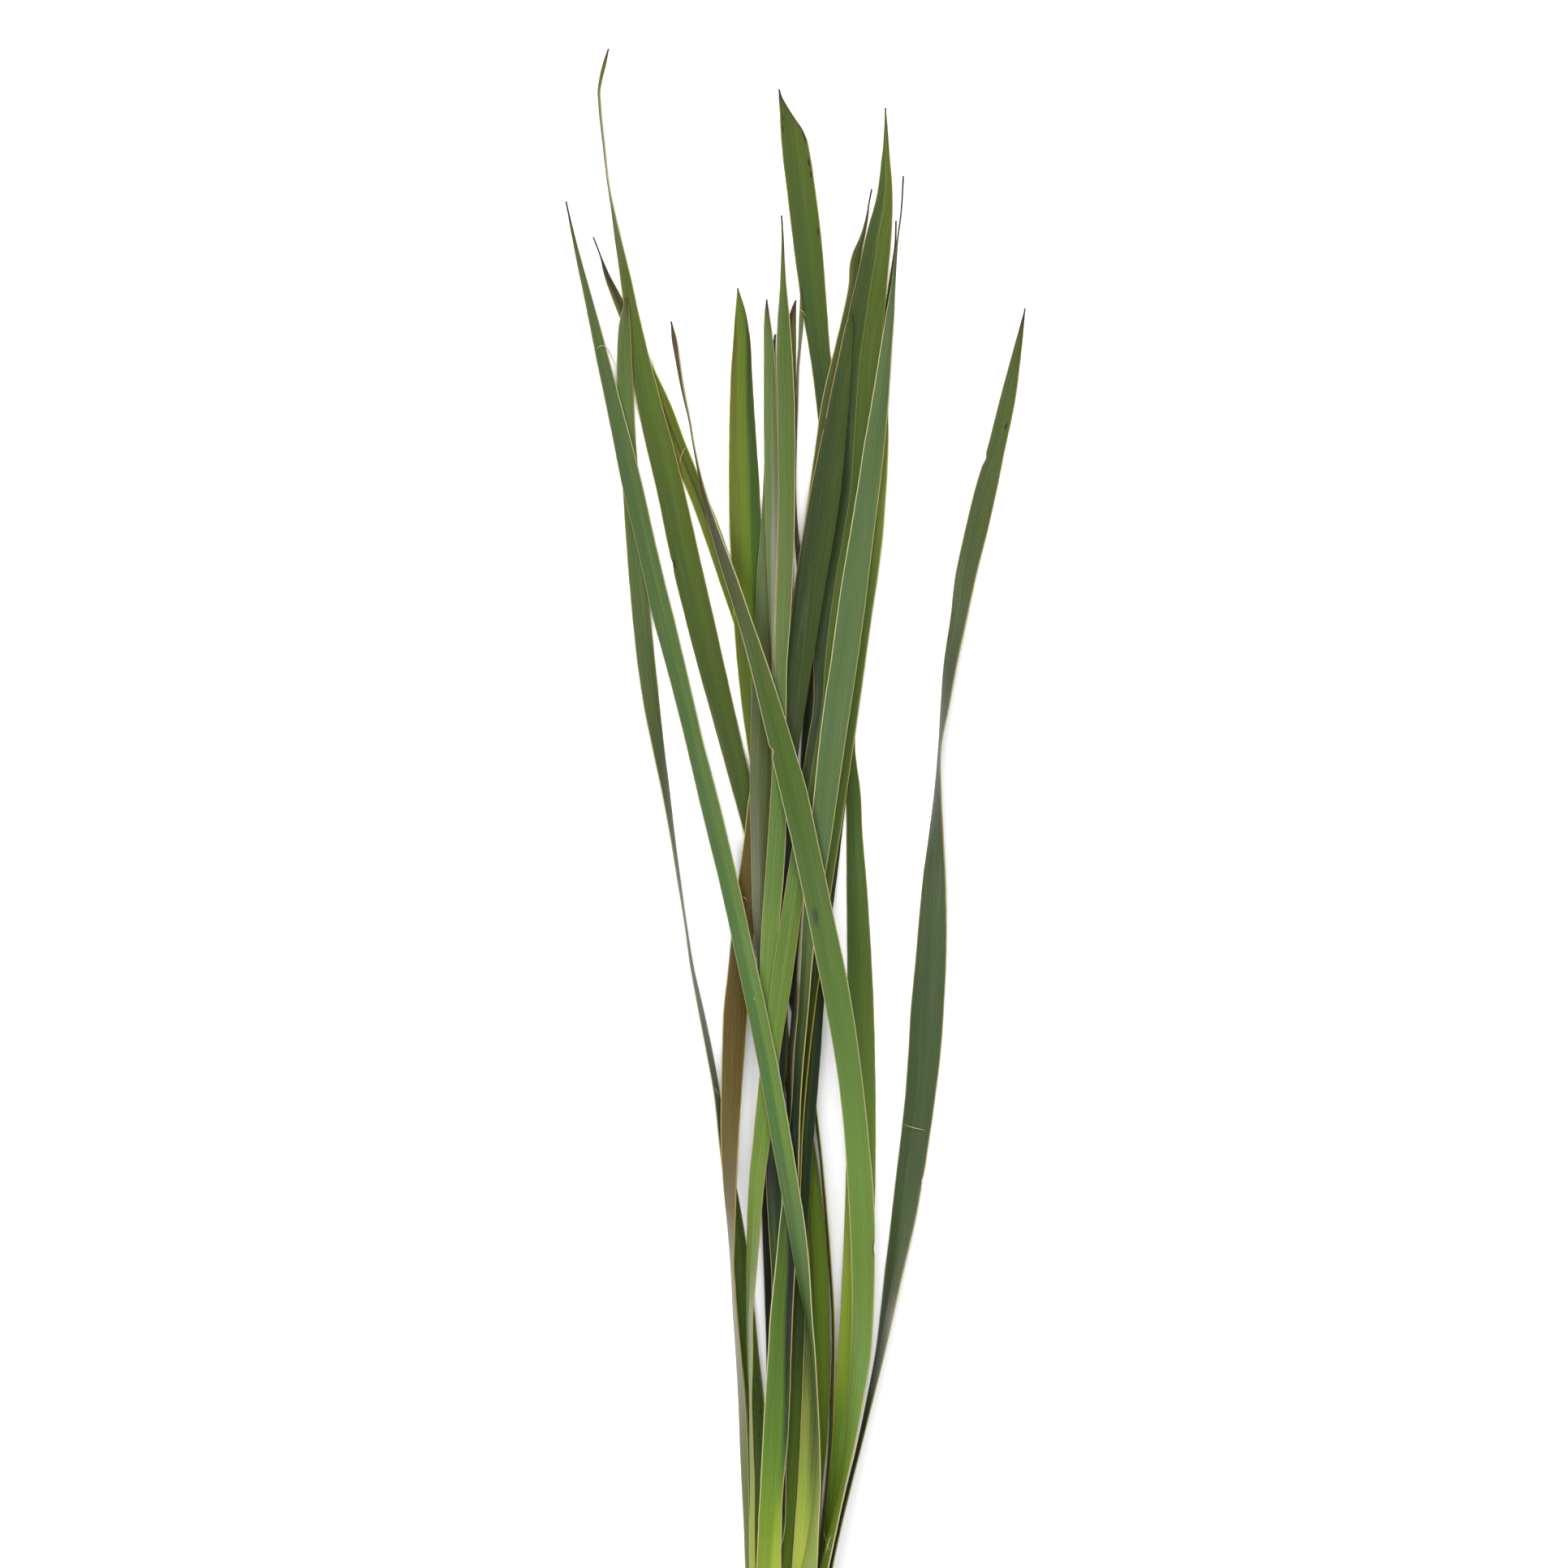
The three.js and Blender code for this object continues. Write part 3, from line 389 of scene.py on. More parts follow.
            (430, "44704a", "4a7850"), (487, "477750", "4f7d54"), (541, "477750", "4f7d54"),
            (622, "46754e", "4f7d54"), (700, "4c7850", "48744c"), (760, "466e4a"),
            (782, "4a5a38"), (795, "4c3e26"), (822, "3a2414"),
        ],
        # The split marks where the painted shadow on the right half begins.
        "split": [
            (0, 0.55), (60, 0.6), (100, 0.8), (125, 0.8), (160, 0.72), (217, 0.62), (244, 0.45),
            (271, 0.4), (300, 0.5),
        ],
        "left": ("dcd49c", 0.55),
        "right": ("c8bc78", 0.5),
    },
    "right_arching_leaf": {
        # The pale grey right half from 155 to 205 mm is painted sheen.
        "tones": [
            (0, "4a5038"), (55, "55603c"), (82, "6a6f5c", "7a7468"), (109, "4f5f48"),
            (136, "465c48", "4f604c"), (155, "5a6c58", "8a928c"), (190, "56705a", "98a09a"),
            (205, "4c6c50", "6c7c6a"), (230, "446848", "4c6c50"), (271, "3e6046", "46664c"),
            (325, "3c5f46", "46684e"), (379, "3e6048", "46684e"), (433, "42624a", "4a6850"),
            (470, "4a5c4c", "505e50"), (514, "5e625a"), (541, "505f4c", "54604e"),
            (595, "466642", "4c6844"), (650, "46663e", "4e6e42"), (700, "486a3e", "507240"),
            (730, "4c6234"), (740, "5a4c28"), (747, "4a3a1e"),
        ],
        "left": ("a8a460", 0.4),
        "right": ("bcae60", 0.45),
        "veining": 1.9,
        "nicks": [(665, "left", 1.2, 3.0), (264.6, "right", 1.0, 3.0)],
        "marks": [(683, 0.75, 1.8, 0.6, "24280f", 0.85), (264.6, 0.97, 3.0, 0.8, "5a4426", 0.7)],
    },
    "long_front_leaf": {
        "tones": [
            (0, "8cb05a"), (55, "86ac54"), (82, "8aac58"), (109, "74985a"), (136, "4f7f4a"),
            (163, "427048", "487a4c"), (190, "3a6644", "427048"), (217, "3c6c46", "46784a"),
            (300, "387c44", "589648"), (379, "3a7c44", "54904a"), (450, "3c7644", "4e8648"),
            (560, "3e7044", "4a7c48"), (650, "406c46", "4a7848"), (720, "426a44", "4a7444"),
            (770, "4c6e44"), (788, "566030"), (797, "5a4424"), (807, "3a2414"),
        ],
        "left": ("a8a468", 0.35),
        "right": ("d8cf98", 0.5),
        "veining": 1.3,
        "marks": [(366, 0.5, 1.0, 0.5, "a8b090", 0.6)],
    },
    "diagonal_front_leaf": {
        "tones": [
            (0, "3f6a1c"), (55, "44701c"), (82, "5a8a2c"), (109, "66983c"), (136, "5f9a44"),
            (163, "569440", "5a9640"), (217, "528e38", "589440"), (271, "529440", "589a44"),
            (325, "4c8a40", "528c42"), (379, "457d3c", "4c843f"), (433, "407438", "487a3c"),
            (487, "3c6e2e", "447634"), (541, "3e682e", "466f30"), (568, "3f6032", "45662f"),
            (600, "4c5c3c", "565c3a"), (622, "5c5c48"), (650, "655848"), (700, "685848"),
            (735, "5c4a34"), (741, "3a2a16"),
        ],
        "left": ("ccc48c", 0.45),
        "right": ("d8cf98", 0.5),
        "veining": 1.3,
        "nicks": [(502.7, "left", 1.2, 3.0), (228, "right", 0.9, 6.0)],
        "marks": [
            (411, 0.28, 6.0, 1.5, "4c4a4a", 0.6), (413, 0.36, 4.0, 0.8, "45403f", 0.5),
            (228, 0.98, 6.0, 0.8, "5a4a28", 0.8), (502.7, 0.05, 2.5, 0.9, "b0a070", 0.7),
        ],
        # Stronger greyish patches of wax bloom and painted sheen.
        "bloom_and_sheen": 1.2,
    },
}

# Loose plant fibres on the leaves, as millimetres right of the view's middle and above the cut ends
FIBRES = [
    [(-105.0, 724.2), (-99.0, 727.0), (-93.5, 716.5)],
    [(-74.7, 721.4), (-71.8, 717.0), (-68.0, 710.2)],
    [(-57.6, 662.9), (-56.4, 668.0), (-54.0, 671.9)],
    [(8.6, 747.5), (10.6, 746.4), (11.7, 743.9)],
    [(-23.0, 422.2), (-21.6, 421.6), (-20.7, 419.9)],
    [(-38.7, 316.4), (-37.0, 314.2), (-36.0, 311.0)],
    [(66.2, 296.2), (72.0, 294.2), (78.3, 293.0)],
    [(22.0, 71.2), (23.2, 66.4), (25.2, 62.2)],
    [(26.0, 70.0), (24.5, 66.0), (23.0, 60.5)],
]
FIBRE_RADIUS = 0.00022
FIBRE_ARCH = 0.0007
FIBRE_STEPS = 8


def shown_parts(text):
    """Red, green and blue from 0 to 1, as a screen shows them."""
    return [int(text[i:i + 2], 16) / 255 for i in (0, 2, 4)]


def to_linear(parts):
    """The linear values that a shader takes."""
    return [c / 12.92 if c <= 0.04045 else ((c + 0.055) / 1.055) ** 2.4 for c in parts]


def linear_colour(text):
    """A colour as a shader takes it."""
    return (*to_linear(shown_parts(text)), 1.0)


def leaf_colour(text):
    """A leaf's own colour: the tone, warmed and dulled, less the veil that its wax reflects."""
    red, green, blue = shown_parts(text)
    greenness = min(max(green - red, 0) / green / FULL_GREENNESS, 1)
    blue *= 1 + BLUE_PULL * greenness * (BLUE_SHARE - blue / green)
    red += RED_LIFT * max(green - red, 0)
    bare = [max(c - WAX_VEIL, DARKEST) / LIGHT_LEVEL for c in to_linear((red, green, blue))]
    return (*bare, 1.0)


# Blade shapes

def apart(points):
    """The points of one section without repeats."""
    kept = []
    for point in points:
        if all(np.abs(point - other).max() > SAME_CORNER for other in kept):
            kept.append(point)
    return np.array(kept)


def paired(corners, before):
    """A section's corners as left, middle and right pairs, each with its underside point first."""
    gaps = ((corners[:, None] - corners[None]) ** 2).sum(axis=2)
    first, second = np.unravel_index(np.argmax(gaps), gaps.shape)
    axis = corners[second] - corners[first]
    axis = axis / np.linalg.norm(axis)
    if axis @ before < 0:
        axis = -axis
    up = np.array([-axis[1], axis[0]])
    order = np.argsort(corners @ axis)
    pairs = []
    for pair in (order[:2], order[2:4], order[4:]):
        ends = corners[pair]
        pairs.append(ends[np.argsort(ends @ up)])
    return np.array(pairs)


def sections_of(node):
    """Where a CAD leaf's sections are along Y, and the x and z of their corners."""
    points = np.array([vertex.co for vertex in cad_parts[node].data.vertices])
    points = points[np.argsort(points[:, 1], kind="stable")]
    cuts = np.nonzero(np.diff(points[:, 1]) > SECTION_GAP)[0] + 1
    heights = []
    sections = []
    axis = np.array([1.0, 0.0])
    for group in np.split(points, cuts):
        pairs = paired(apart(group[:, [0, 2]]), axis)
        axis = pairs[2].mean(axis=0) - pairs[0].mean(axis=0)
        heights.append(group[:, 1].mean())
        sections.append(pairs)
    return np.array(heights), np.array(sections)


def smooth(heights, values, at):
    """Values on a smooth curve through the sections."""
    slopes = np.gradient(values, heights, axis=0)
    i = np.clip(np.searchsorted(heights, at, side="right") - 1, 0, len(heights) - 2)
    span = heights[i + 1] - heights[i]
    t = (at - heights[i]) / span
    shape = (-1,) + (1,) * (values.ndim - 1)
    span = span.reshape(shape)
    t = t.reshape(shape)
    start = (2 * t ** 3 - 3 * t ** 2 + 1) * values[i] + (t ** 3 - 2 * t ** 2 + t) * span * slopes[i]
    end = (3 * t ** 2 - 2 * t ** 3) * values[i + 1] + (t ** 3 - t ** 2) * span * slopes[i + 1]
    return start + end


def straight(heights, values, at):
    """Values on straight lines between the sections."""
    i = np.clip(np.searchsorted(heights, at, side="right") - 1, 0, len(heights) - 2)
    t = ((at - heights[i]) / (heights[i + 1] - heights[i])).reshape((-1,) + (1,) * (values.ndim - 1))
    return values[i] * (1 - t) + values[i + 1] * t


def widen_hairs(pairs):
    """Keeps the drawn-out tips wide enough to be seen."""
    middle = (pairs[:, 0] + pairs[:, 2]) / 2
    width = np.linalg.norm((pairs[:, 2] - pairs[:, 0]).mean(axis=1), axis=1)
    gain = np.maximum(HAIR_WIDTH / width, 1)[:, None, None]
    for side in (0, 2):
        pairs[:, side] = middle + (pairs[:, side] - middle) * gain


def wander(stations, rng):
    """A slow uneven wave along an edge, between about -1 and 1."""
    wave = np.zeros_like(stations)
    for length in WANDER_LENGTHS:
        wave += np.sin(2 * math.pi * (stations / length + rng.random())) / len(WANDER_LENGTHS)
    return wave


def trim_edges(pairs, stations, look, rng):
    """Lets both edges wander a little, and cuts the leaf's nicks into them."""
    width = np.linalg.norm(pairs[:, 2].mean(axis=1) - pairs[:, 0].mean(axis=1), axis=1)
    reach = EDGE_WANDER * np.clip(width / STEADY_WIDTH, 0, 1)
    cut = {
        "left": reach * (1 + wander(stations, rng)) / 2,
        "right": reach * (1 + wander(stations, rng)) / 2,
    }
    for height, side, depth, half_length in look.get("nicks", []):
        away = np.abs(stations - CUT_END_Y - height * MM) / (half_length * MM)
        cut[side] += depth * MM * np.clip(1 - away, 0, 1)
    inward = pairs[:, 2] - pairs[:, 0]
    for side, place, sign in (("left", 0, 1), ("right", 2, -1)):
        share = np.clip(cut[side] / width, 0, MOST_TRIM)
        pairs[:, place] += sign * share[:, None, None] * inward
    return width


def across_section(corners, shares, bow):
    """Points over one face of every section, from its left, middle and right corners."""
    left, middle, right = (corners[:, k][:, None] for k in range(3))
    share = shares[None, :, None]
    hump = 1 - np.abs(2 * share - 1) ** bow
    return left * (1 - share) + right * share + (middle - (left + right) / 2) * hump


def add_ribs(top, shares, width, stations, rng):
    """Raises low lengthwise ribs on the top face, lost where the blade is narrow."""
    side = top[:, -1] - top[:, 0]
    up = np.stack([-side[:, 1], side[:, 0]], axis=1)
    up /= np.linalg.norm(up, axis=1)[:, None]
    sway = RIB_SWAY * wander(stations, rng)[:, None]
    turns = shares[None, :] * width[:, None] / RIB_SPACING + sway
    fade = np.sin(math.pi * shares)[None, :] * np.clip(width / FULL_RIB_WIDTH, 0, 1)[:, None]
    rise = RIB_HEIGHT * np.cos(2 * math.pi * turns) * fade
    return top + up[:, None] * rise[:, :, None]


def write_attribute(mesh, name, values):
    made = mesh.attributes.new(name, "FLOAT_VECTOR", "POINT")
    made.data.foreach_set("vector", values.astype(np.float32).ravel())


def blade_mesh(node, look, seed):
    """A closed leaf blade over the CAD leaf's sections, with where each point is on the blade."""
    rng = np.random.default_rng(seed)
    heights, sections = sections_of(node)
    steps = round((heights[-1] - heights[0]) / STATION_STEP)
    stations = np.linspace(heights[0], heights[-1], steps + 1)
    pairs = smooth(heights, sections, stations)
    if "straight_above" in look:
        above = stations > CUT_END_Y + look["straight_above"] * MM
        pairs[above] = straight(heights, sections, stations[above])
    widen_hairs(pairs)
    width = trim_edges(pairs, stations, look, rng)
    top_shares = np.linspace(0, 1, TOP_POINTS)
    under_shares = np.linspace(1, 0, UNDER_POINTS)
    top = across_section(pairs[:, :, 1], top_shares, TOP_BOW)
    top = add_ribs(top, top_shares, width, stations, rng)
    under = across_section(pairs[:, :, 0], under_shares, UNDER_BOW)
    rings = np.concatenate([top, under], axis=1)
    rows, corners = rings.shape[:2]
    points = np.empty((rows, corners, 3))
    points[..., 0] = rings[..., 0]
    points[..., 1] = stations[:, None]
    points[..., 2] = np.maximum(rings[..., 1], 0)

    ring = np.arange(corners)
    near = np.arange(rows - 1)[:, None] * corners + ring[None]
    beside = np.arange(rows - 1)[:, None] * corners + np.roll(ring, -1)[None]
    quads = np.stack([near, beside, beside + corners, near + corners], axis=2).reshape(-1, 4)
    base_cap = ring[::-1].tolist()
    tip_cap = (ring + (rows - 1) * corners).tolist()
    mesh = bpy.data.meshes.new(node + "_blade")
    mesh.from_pydata(points.reshape(-1, 3).tolist(), [], quads.tolist() + [base_cap, tip_cap])
    smooth_faces = np.ones(len(mesh.polygons), bool)
    smooth_faces[-2:] = False
    mesh.polygons.foreach_set("use_smooth", smooth_faces)
    mesh.polygons[len(quads)].material_index = 1

    shares = np.tile(np.concatenate([top_shares, under_shares]), (rows, 1))
    width_mm = np.tile((width / MM)[:, None], (1, corners))
    height_mm = np.tile(((stations - CUT_END_Y) / MM)[:, None], (1, corners))
    face = np.tile(np.repeat([1.0, 0.0], [TOP_POINTS, UNDER_POINTS]), (rows, 1))
    write_attribute(mesh, "blade_place", np.stack([shares * width_mm, height_mm, face], axis=2))
    from_edges = [shares, shares * width_mm, (1 - shares) * width_mm]
    write_attribute(mesh, "blade_edges", np.stack(from_edges, axis=2))
    mesh.update()
    return mesh


# Materials

class Graph:
    """Adds nodes to one material and links them."""

    def __init__(self, name):
        self.material = bpy.data.materials.new(name)
        self.material.use_nodes = True
        self.tree = self.material.node_tree
        self.tree.nodes.clear()

    def node(self, kind, **settings):
        made = self.tree.nodes.new(kind)
        for key, value in settings.items():
            setattr(made, key, value)
        return made

    def feed(self, socket, value):
        if isinstance(value, bpy.types.NodeSocket):
            self.tree.links.new(value, socket)
        else:
            socket.default_value = value

    def maths(self, operation, *values):
        made = self.node("ShaderNodeMath", operation=operation)
        for socket, value in zip(made.inputs, values):
            self.feed(socket, value)
        return made.outputs[0]

    def attribute(self, name):
        made = self.node("ShaderNodeAttribute", attribute_name=name)
        parts = self.node("ShaderNodeSeparateXYZ")
        self.feed(parts.inputs[0], made.outputs["Vector"])
        return parts.outputs[0], parts.outputs[1], parts.outputs[2]

    def ease(self, value, low, high):
        """A smooth step from 0 at low to 1 at high, or back where low is the greater."""
        made = self.node("ShaderNodeMapRange", interpolation_type="SMOOTHSTEP")
        self.feed(made.inputs["Value"], value)
        self.feed(made.inputs["From Min"], low)
        self.feed(made.inputs["From Max"], high)
        return made.outputs["Result"]

    def between(self, value, low, high):
        """Stretches a value that runs from 0 to 1 to run from low to high."""
        return self.maths("MULTIPLY_ADD", value, high - low, low)

    def mix(self, factor, a, b, blend="MIX"):
        made = self.node("ShaderNodeMix", data_type="RGBA", blend_type=blend)
        self.feed(made.inputs[0], factor)
        self.feed(made.inputs[6], a)
        self.feed(made.inputs[7], b)
        return made.outputs[2]

    def shade(self, colour, amount):
        made = self.node("ShaderNodeVectorMath", operation="SCALE")
        self.feed(made.inputs[0], colour)
        self.feed(made.inputs["Scale"], amount)
        return made.outputs[0]

    def streaks(self, place, width_mm, length_mm, seed, detail=2.0):
        """Noise about that wide and long on the blade, between 0 and 1."""
        spot = self.node("ShaderNodeCombineXYZ")
        self.feed(spot.inputs[0], self.maths("DIVIDE", place[0], width_mm))
        self.feed(spot.inputs[1], self.maths("DIVIDE", place[1], length_mm))
        self.feed(spot.inputs[2], self.maths("MULTIPLY_ADD", place[2], 3.7, seed))
        made = self.node("ShaderNodeTexNoise", noise_dimensions="3D")
        self.feed(made.inputs["Vector"], spot.outputs[0])
        made.inputs["Scale"].default_value = 1.0
        made.inputs["Detail"].default_value = detail
        return made.outputs[0]

    def ramp(self, value, stops):
        made = self.node("ShaderNodeValToRGB")
        self.feed(made.inputs[0], value)
        elements = made.color_ramp.elements
        elements[0].position, elements[0].color = stops[0]
        elements[1].position, elements[1].color = stops[-1]
        for position, colour in stops[1:-1]:
            elements.new(position).color = colour
        return made.outputs[0]

    def bump(self, height, strength, distance):
        made = self.node("ShaderNodeBump")
        made.inputs["Strength"].default_value = strength
        made.inputs["Distance"].default_value = distance
        self.feed(made.inputs["Height"], height)
        return made.outputs[0]

    def surface(self, colour, roughness, normal=None, coat=0.0, coat_roughness=0.3, specular=0.5):
        shader = self.node("ShaderNodeBsdfPrincipled")
        self.feed(shader.inputs["Base Color"], colour)
        self.feed(shader.inputs["Roughness"], roughness)
        shader.inputs["Coat Weight"].default_value = coat
        shader.inputs["Coat Roughness"].default_value = coat_roughness
        shader.inputs["Specular IOR Level"].default_value = specular
        if normal is not None:
            self.feed(shader.inputs["Normal"], normal)
        output = self.node("ShaderNodeOutputMaterial")
        self.feed(output.inputs["Surface"], shader.outputs[0])
        return self.material


def tone_stops(look, side):
    """The stops of one half's colours along the blade."""
    stops = []
    for height, *colours in look["tones"]:
        colour = colours[min(side, len(colours) - 1)]
        stops.append((height / TONE_SPAN_MM, leaf_colour(colour)))
    return stops


def split_stops(look):
    """Where across the blade its two halves meet, along its length, as greys."""
    stops = look.get("split", [(0, 0.5), (TONE_SPAN_MM, 0.5)])
    return [(height / TONE_SPAN_MM, (share, share, share, 1.0)) for height, share in stops]


def add_margin(graph, colour, distance, width, margin, breaks):
    """A pale or brown margin, uneven in width, that thins out with the blade. A pale one is partly the
    leaf's own edge and partly painted glow of light through the thin edge.
    """
    tint, width_mm = margin
    reach = graph.maths("MULTIPLY", graph.between(breaks, *MARGIN_UNEVENNESS), width_mm)
    reach = graph.maths("MINIMUM", reach, graph.maths("MULTIPLY", width, MOST_MARGIN))
    inner = graph.maths("MULTIPLY", reach, MARGIN_CORE)
    line = graph.ease(distance, reach, inner)
    line = graph.maths("MULTIPLY", line, graph.ease(width, BARE_WIDTH_MM, EDGED_WIDTH_MM))
    return graph.mix(line, colour, leaf_colour(tint))


def add_mark(graph, colour, place, share, mark, grit):
    """A stain, spot or bruise with an uneven outline."""
    height, across, half_length, half_width, tint, strength = mark
    along = graph.maths("DIVIDE", graph.maths("SUBTRACT", place[1], height), half_length)
    span = graph.maths("DIVIDE", place[0], graph.maths("MAXIMUM", share, LEAST_SHARE))
    sideways = graph.maths("MULTIPLY", graph.maths("SUBTRACT", share, across), span)
    sideways = graph.maths("DIVIDE", sideways, half_width)
    squares = graph.maths("ADD", graph.maths("POWER", along, 2.0), graph.maths("POWER", sideways, 2.0))
    rough = graph.maths("ADD", squares, graph.between(grit, -MARK_RAGGEDNESS, MARK_RAGGEDNESS))
    factor = graph.maths("MULTIPLY", graph.ease(rough, MARK_OUTSIDE, MARK_INSIDE), strength)
    return graph.mix(factor, colour, leaf_colour(tint))


def leaf_material(name, look, seed):
    """A waxy strap leaf: two halves (in some leaves one of them painted shade or painted sheen), fine
    parallel veins, streaks, margins, stains, and greyish patches that are partly wax bloom and partly
    painted sheen.
    """
    graph = Graph(name)
    place = graph.attribute("blade_place")
    share, from_left, from_right = graph.attribute("blade_edges")
    width = graph.maths("ADD", from_left, from_right)
    noise = {}
    for key, (width_mm, length_mm, offset, detail) in NOISES.items():
        noise[key] = graph.streaks(place, width_mm, length_mm, seed + offset, detail)

    drift = graph.between(noise["drift"], -TONE_DRIFT_MM, TONE_DRIFT_MM)
    level = graph.maths("DIVIDE", graph.maths("ADD", place[1], drift), TONE_SPAN_MM)
    # The two halves' tones, which in some leaves hold painted shade or painted sheen.
    left = graph.ramp(level, tone_stops(look, 0))
    right = graph.ramp(level, tone_stops(look, 1))
    split = graph.ramp(graph.maths("DIVIDE", place[1], TONE_SPAN_MM), split_stops(look))
    past_split = graph.maths("SUBTRACT", share, split)
    soft = look.get("soft", SOFT_SPLIT)
    colour = graph.mix(graph.ease(past_split, -soft, soft), left, right)

    sway = graph.between(noise["sway"], -VEIN_SWAY, VEIN_SWAY)
    turns = graph.maths("ADD", graph.maths("DIVIDE", place[0], VEIN_SPACING_MM), sway)
    waves = graph.maths("COSINE", graph.maths("MULTIPLY", turns, 2 * math.pi))
    lines = graph.maths("MULTIPLY", graph.ease(waves, VEIN_START, 1.0), noise["bands"])

    for key, amount in SHADES.items():
        colour = graph.shade(colour, graph.between(noise[key], 1 - amount, 1 + amount))
    vein_shade = BETWEEN_VEINS - VEIN_DARKNESS * look.get("veining", 1.0)
    colour = graph.shade(colour, graph.between(lines, BETWEEN_VEINS, vein_shade))
    # Patches of another colour; the greyish ones are partly wax bloom and partly painted sheen.
    for key, (tint, start, full, strength) in PATCHES.items():
        patch = graph.ease(noise[key], start, full)
        patch = graph.maths("MULTIPLY", patch, strength * look.get(key, 1.0))
        colour = graph.mix(patch, colour, leaf_colour(tint))

    if "keel" in look:
        tint, keel_mm, strength = look["keel"]
        from_keel = graph.maths("ABSOLUTE", graph.maths("SUBTRACT", from_left, from_right))
        line = graph.ease(from_keel, keel_mm, keel_mm * KEEL_CORE)
        colour = graph.mix(graph.maths("MULTIPLY", line, strength), colour, leaf_colour(tint))
    colour = add_margin(graph, colour, from_left, width, look["left"], noise["breaks"])
    colour = add_margin(graph, colour, from_right, width, look["right"], noise["breaks"])
    for mark in look.get("marks", []):
        colour = add_mark(graph, colour, place, share, mark, noise["grit"])
    under = graph.mix(UNDERSIDE_SHARE, colour, leaf_colour(UNDERSIDE))
    colour = graph.mix(place[2], under, colour)

    fine = graph.maths("MULTIPLY", noise["hairs"], HAIR_RELIEF)
    relief = graph.maths("ADD", graph.maths("MULTIPLY", noise["veins"], VEIN_RELIEF), fine)
    relief = graph.maths("SUBTRACT", relief, graph.maths("MULTIPLY", lines, LINE_RELIEF))
    normal = graph.bump(relief, RELIEF_STRENGTH, VEIN_DEPTH)
    gloss = graph.between(noise["bands"], *BAND_ROUGHNESS)
    roughness = graph.maths("ADD", gloss, graph.between(noise["grit"], *GRIT_ROUGHNESS))
    return graph.surface(colour, roughness, normal, specular=LEAF_SPECULAR)


def cut_end_material():
    """The pale, fibrous face of a cut base, with rows of air cells."""
    graph = Graph("cut_end")
    place = graph.attribute("blade_place")
    coordinates = graph.node("ShaderNodeTexCoord")
    cells = graph.node("ShaderNodeTexVoronoi", feature="DISTANCE_TO_EDGE")
    graph.feed(cells.inputs["Vector"], coordinates.outputs["Object"])
    cells.inputs["Scale"].default_value = 1400.0
    walls = graph.ease(cells.outputs[0], 0.04, 0.16)
    colour = graph.mix(walls, linear_colour("d5d3a4"), linear_colour("8f9a5c"))
    tint = graph.streaks(place, 2.0, 2.0, 3.0, 3.0)
    colour = graph.shade(colour, graph.between(tint, 0.8, 1.15))
    return graph.surface(colour, 0.7, graph.bump(walls, 0.5, 0.0002))


def fibre_material():
    graph = Graph("dry_fibre")
    coordinates = graph.node("ShaderNodeTexCoord")
    noise = graph.node("ShaderNodeTexNoise")
    graph.feed(noise.inputs["Vector"], coordinates.outputs["Object"])
    noise.inputs["Scale"].default_value = 900.0
    colour = graph.mix(noise.outputs[0], linear_colour("7a5c34"), linear_colour("cdbb8c"))
    return graph.surface(colour, 0.7, graph.bump(noise.outputs[0], 0.3, 0.0001))


def floor_material():
    graph = Graph("pale_floor")
    return graph.surface(linear_colour("f8f8f8"), 0.75, specular=0.2)


# Pieces

def add_object(name, data):
    made = bpy.data.objects.new(name, data)
    bpy.context.scene.collection.objects.link(made)
    return made


def make_leaves():
    cut_end = cut_end_material()
    leaves = []
    for seed, (node, look) in enumerate(LOOKS.items(), start=1):
        leaf = add_object(node + "_blade", blade_mesh(node, look, seed))
        leaf.data.materials.append(leaf_material(node + "_surface", look, seed * 7.31))
        leaf.data.materials.append(cut_end)
        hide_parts(node)
        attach(leaf, "root")
        leaves.append(leaf)
    return leaves


def surface_height(x, y):
    """The height of whatever leaf is topmost at a place on the table."""
    depsgraph = bpy.context.evaluated_depsgraph_get()
    hit, spot, *_ = bpy.context.scene.ray_cast(depsgraph, Vector((x, y, 1.0)), Vector((0, 0, -1)))
    return spot.z if hit else 0.0


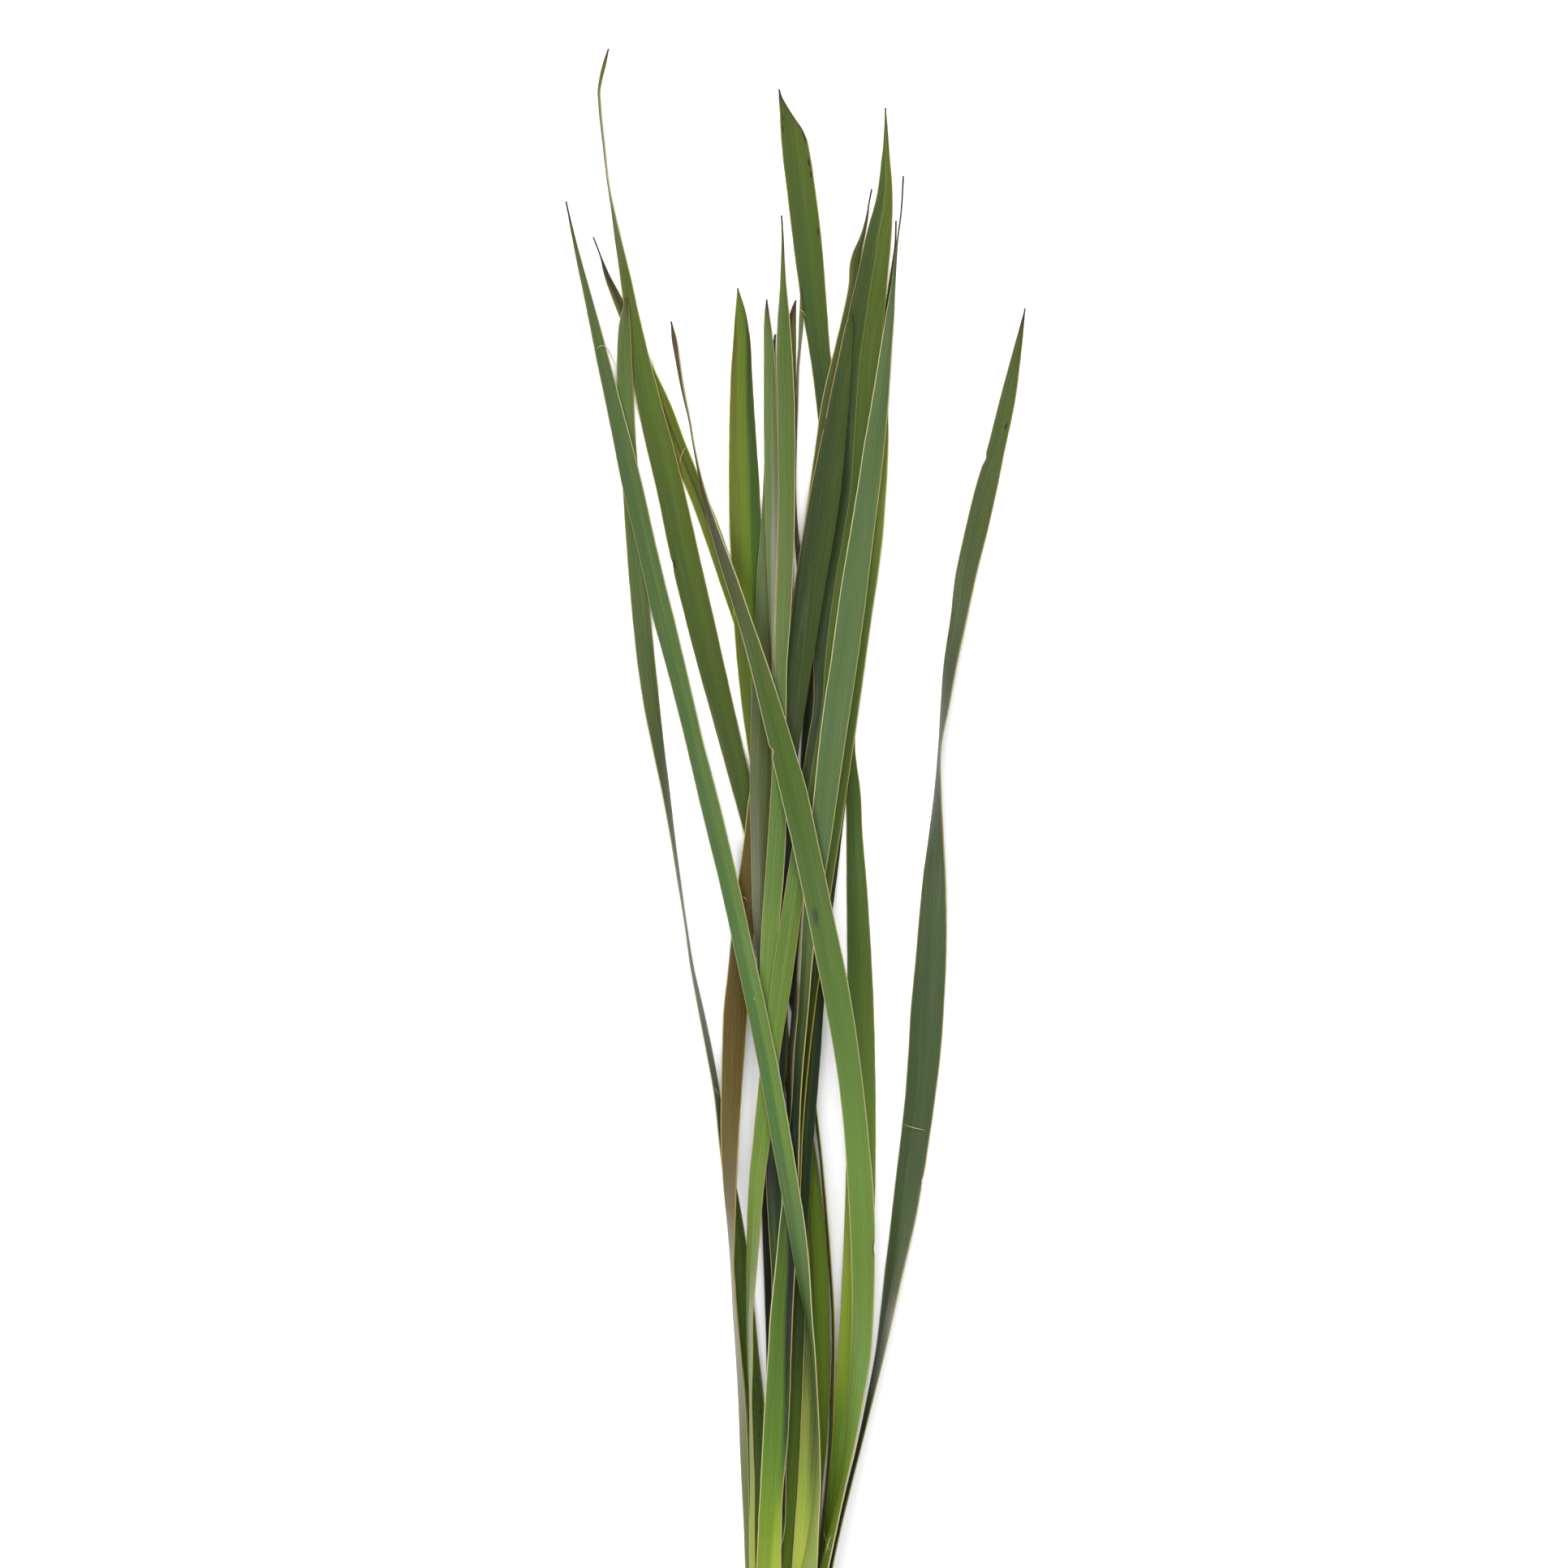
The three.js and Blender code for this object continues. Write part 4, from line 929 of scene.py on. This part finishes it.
def make_fibres():
    """Thin dry fibres that lie over the leaves, all in one curve object."""
    bpy.context.view_layer.update()
    curve = bpy.data.curves.new("dry_fibres", "CURVE")
    curve.dimensions = "3D"
    curve.bevel_depth = FIBRE_RADIUS
    curve.bevel_resolution = 2
    curve.use_fill_caps = True
    for start, middle, end in FIBRES:
        spline = curve.splines.new("POLY")
        spline.points.add(FIBRE_STEPS)
        for k in range(FIBRE_STEPS + 1):
            t = k / FIBRE_STEPS
            weights = ((1 - t) * (1 - 2 * t), 4 * t * (1 - t), t * (2 * t - 1))
            across = sum(w * p[0] for w, p in zip(weights, (start, middle, end)))
            height = sum(w * p[1] for w, p in zip(weights, (start, middle, end)))
            x = VIEW_MIDDLE_X + across * MM
            y = CUT_END_Y + height * MM
            arch = FIBRE_ARCH * math.sin(math.pi * t) + FIBRE_RADIUS
            spline.points[k].co = (x, y, surface_height(x, y) + arch, 1.0)
            spline.points[k].radius = 1.0 - 0.6 * abs(2 * t - 1)
    fibres = add_object("dry_fibres", curve)
    curve.materials.append(fibre_material())
    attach(fibres, "root")


# Stage, light and camera

def make_floor():
    mesh = bpy.data.meshes.new("floor")
    corners = []
    for x, y in ((-1, -1), (1, -1), (1, 1), (-1, 1)):
        corners.append((x * FLOOR_HALF, y * FLOOR_HALF, FLOOR_DEPTH))
    mesh.from_pydata(corners, [], [(0, 1, 2, 3)])
    floor = add_object("floor", mesh)
    mesh.materials.append(floor_material())


def add_area_light(name, place, size, power):
    light = bpy.data.lights.new(name, "AREA")
    light.size = size
    light.energy = power
    lamp = add_object(name, light)
    lamp.location = place
    lamp.rotation_euler = (-Vector(place)).to_track_quat("-Z", "Y").to_euler()


def light_stage():
    for name, place, size, power in STUDIO_LIGHTS:
        add_area_light(name, place, size, power)
    world = bpy.data.worlds.new("studio")
    world.use_nodes = True
    background = world.node_tree.nodes["Background"]
    background.inputs["Color"].default_value = (1.0, 1.0, 1.0, 1.0)
    background.inputs["Strength"].default_value = ROOM_LIGHT
    bpy.context.scene.world = world
    bpy.context.scene.view_settings.view_transform = "Standard"


def place_camera():
    data = bpy.data.cameras.new("camera")
    data.sensor_width = SENSOR_MM
    data.lens = SENSOR_MM * CAMERA_HEIGHT / VIEW_WIDTH
    data.clip_end = 50.0
    camera = add_object("camera", data)
    camera.location = (VIEW_MIDDLE_X, VIEW_MIDDLE_Y, CAMERA_HEIGHT)
    bpy.context.scene.camera = camera


place_camera()
light_stage()
make_floor()
make_leaves()
make_fibres()
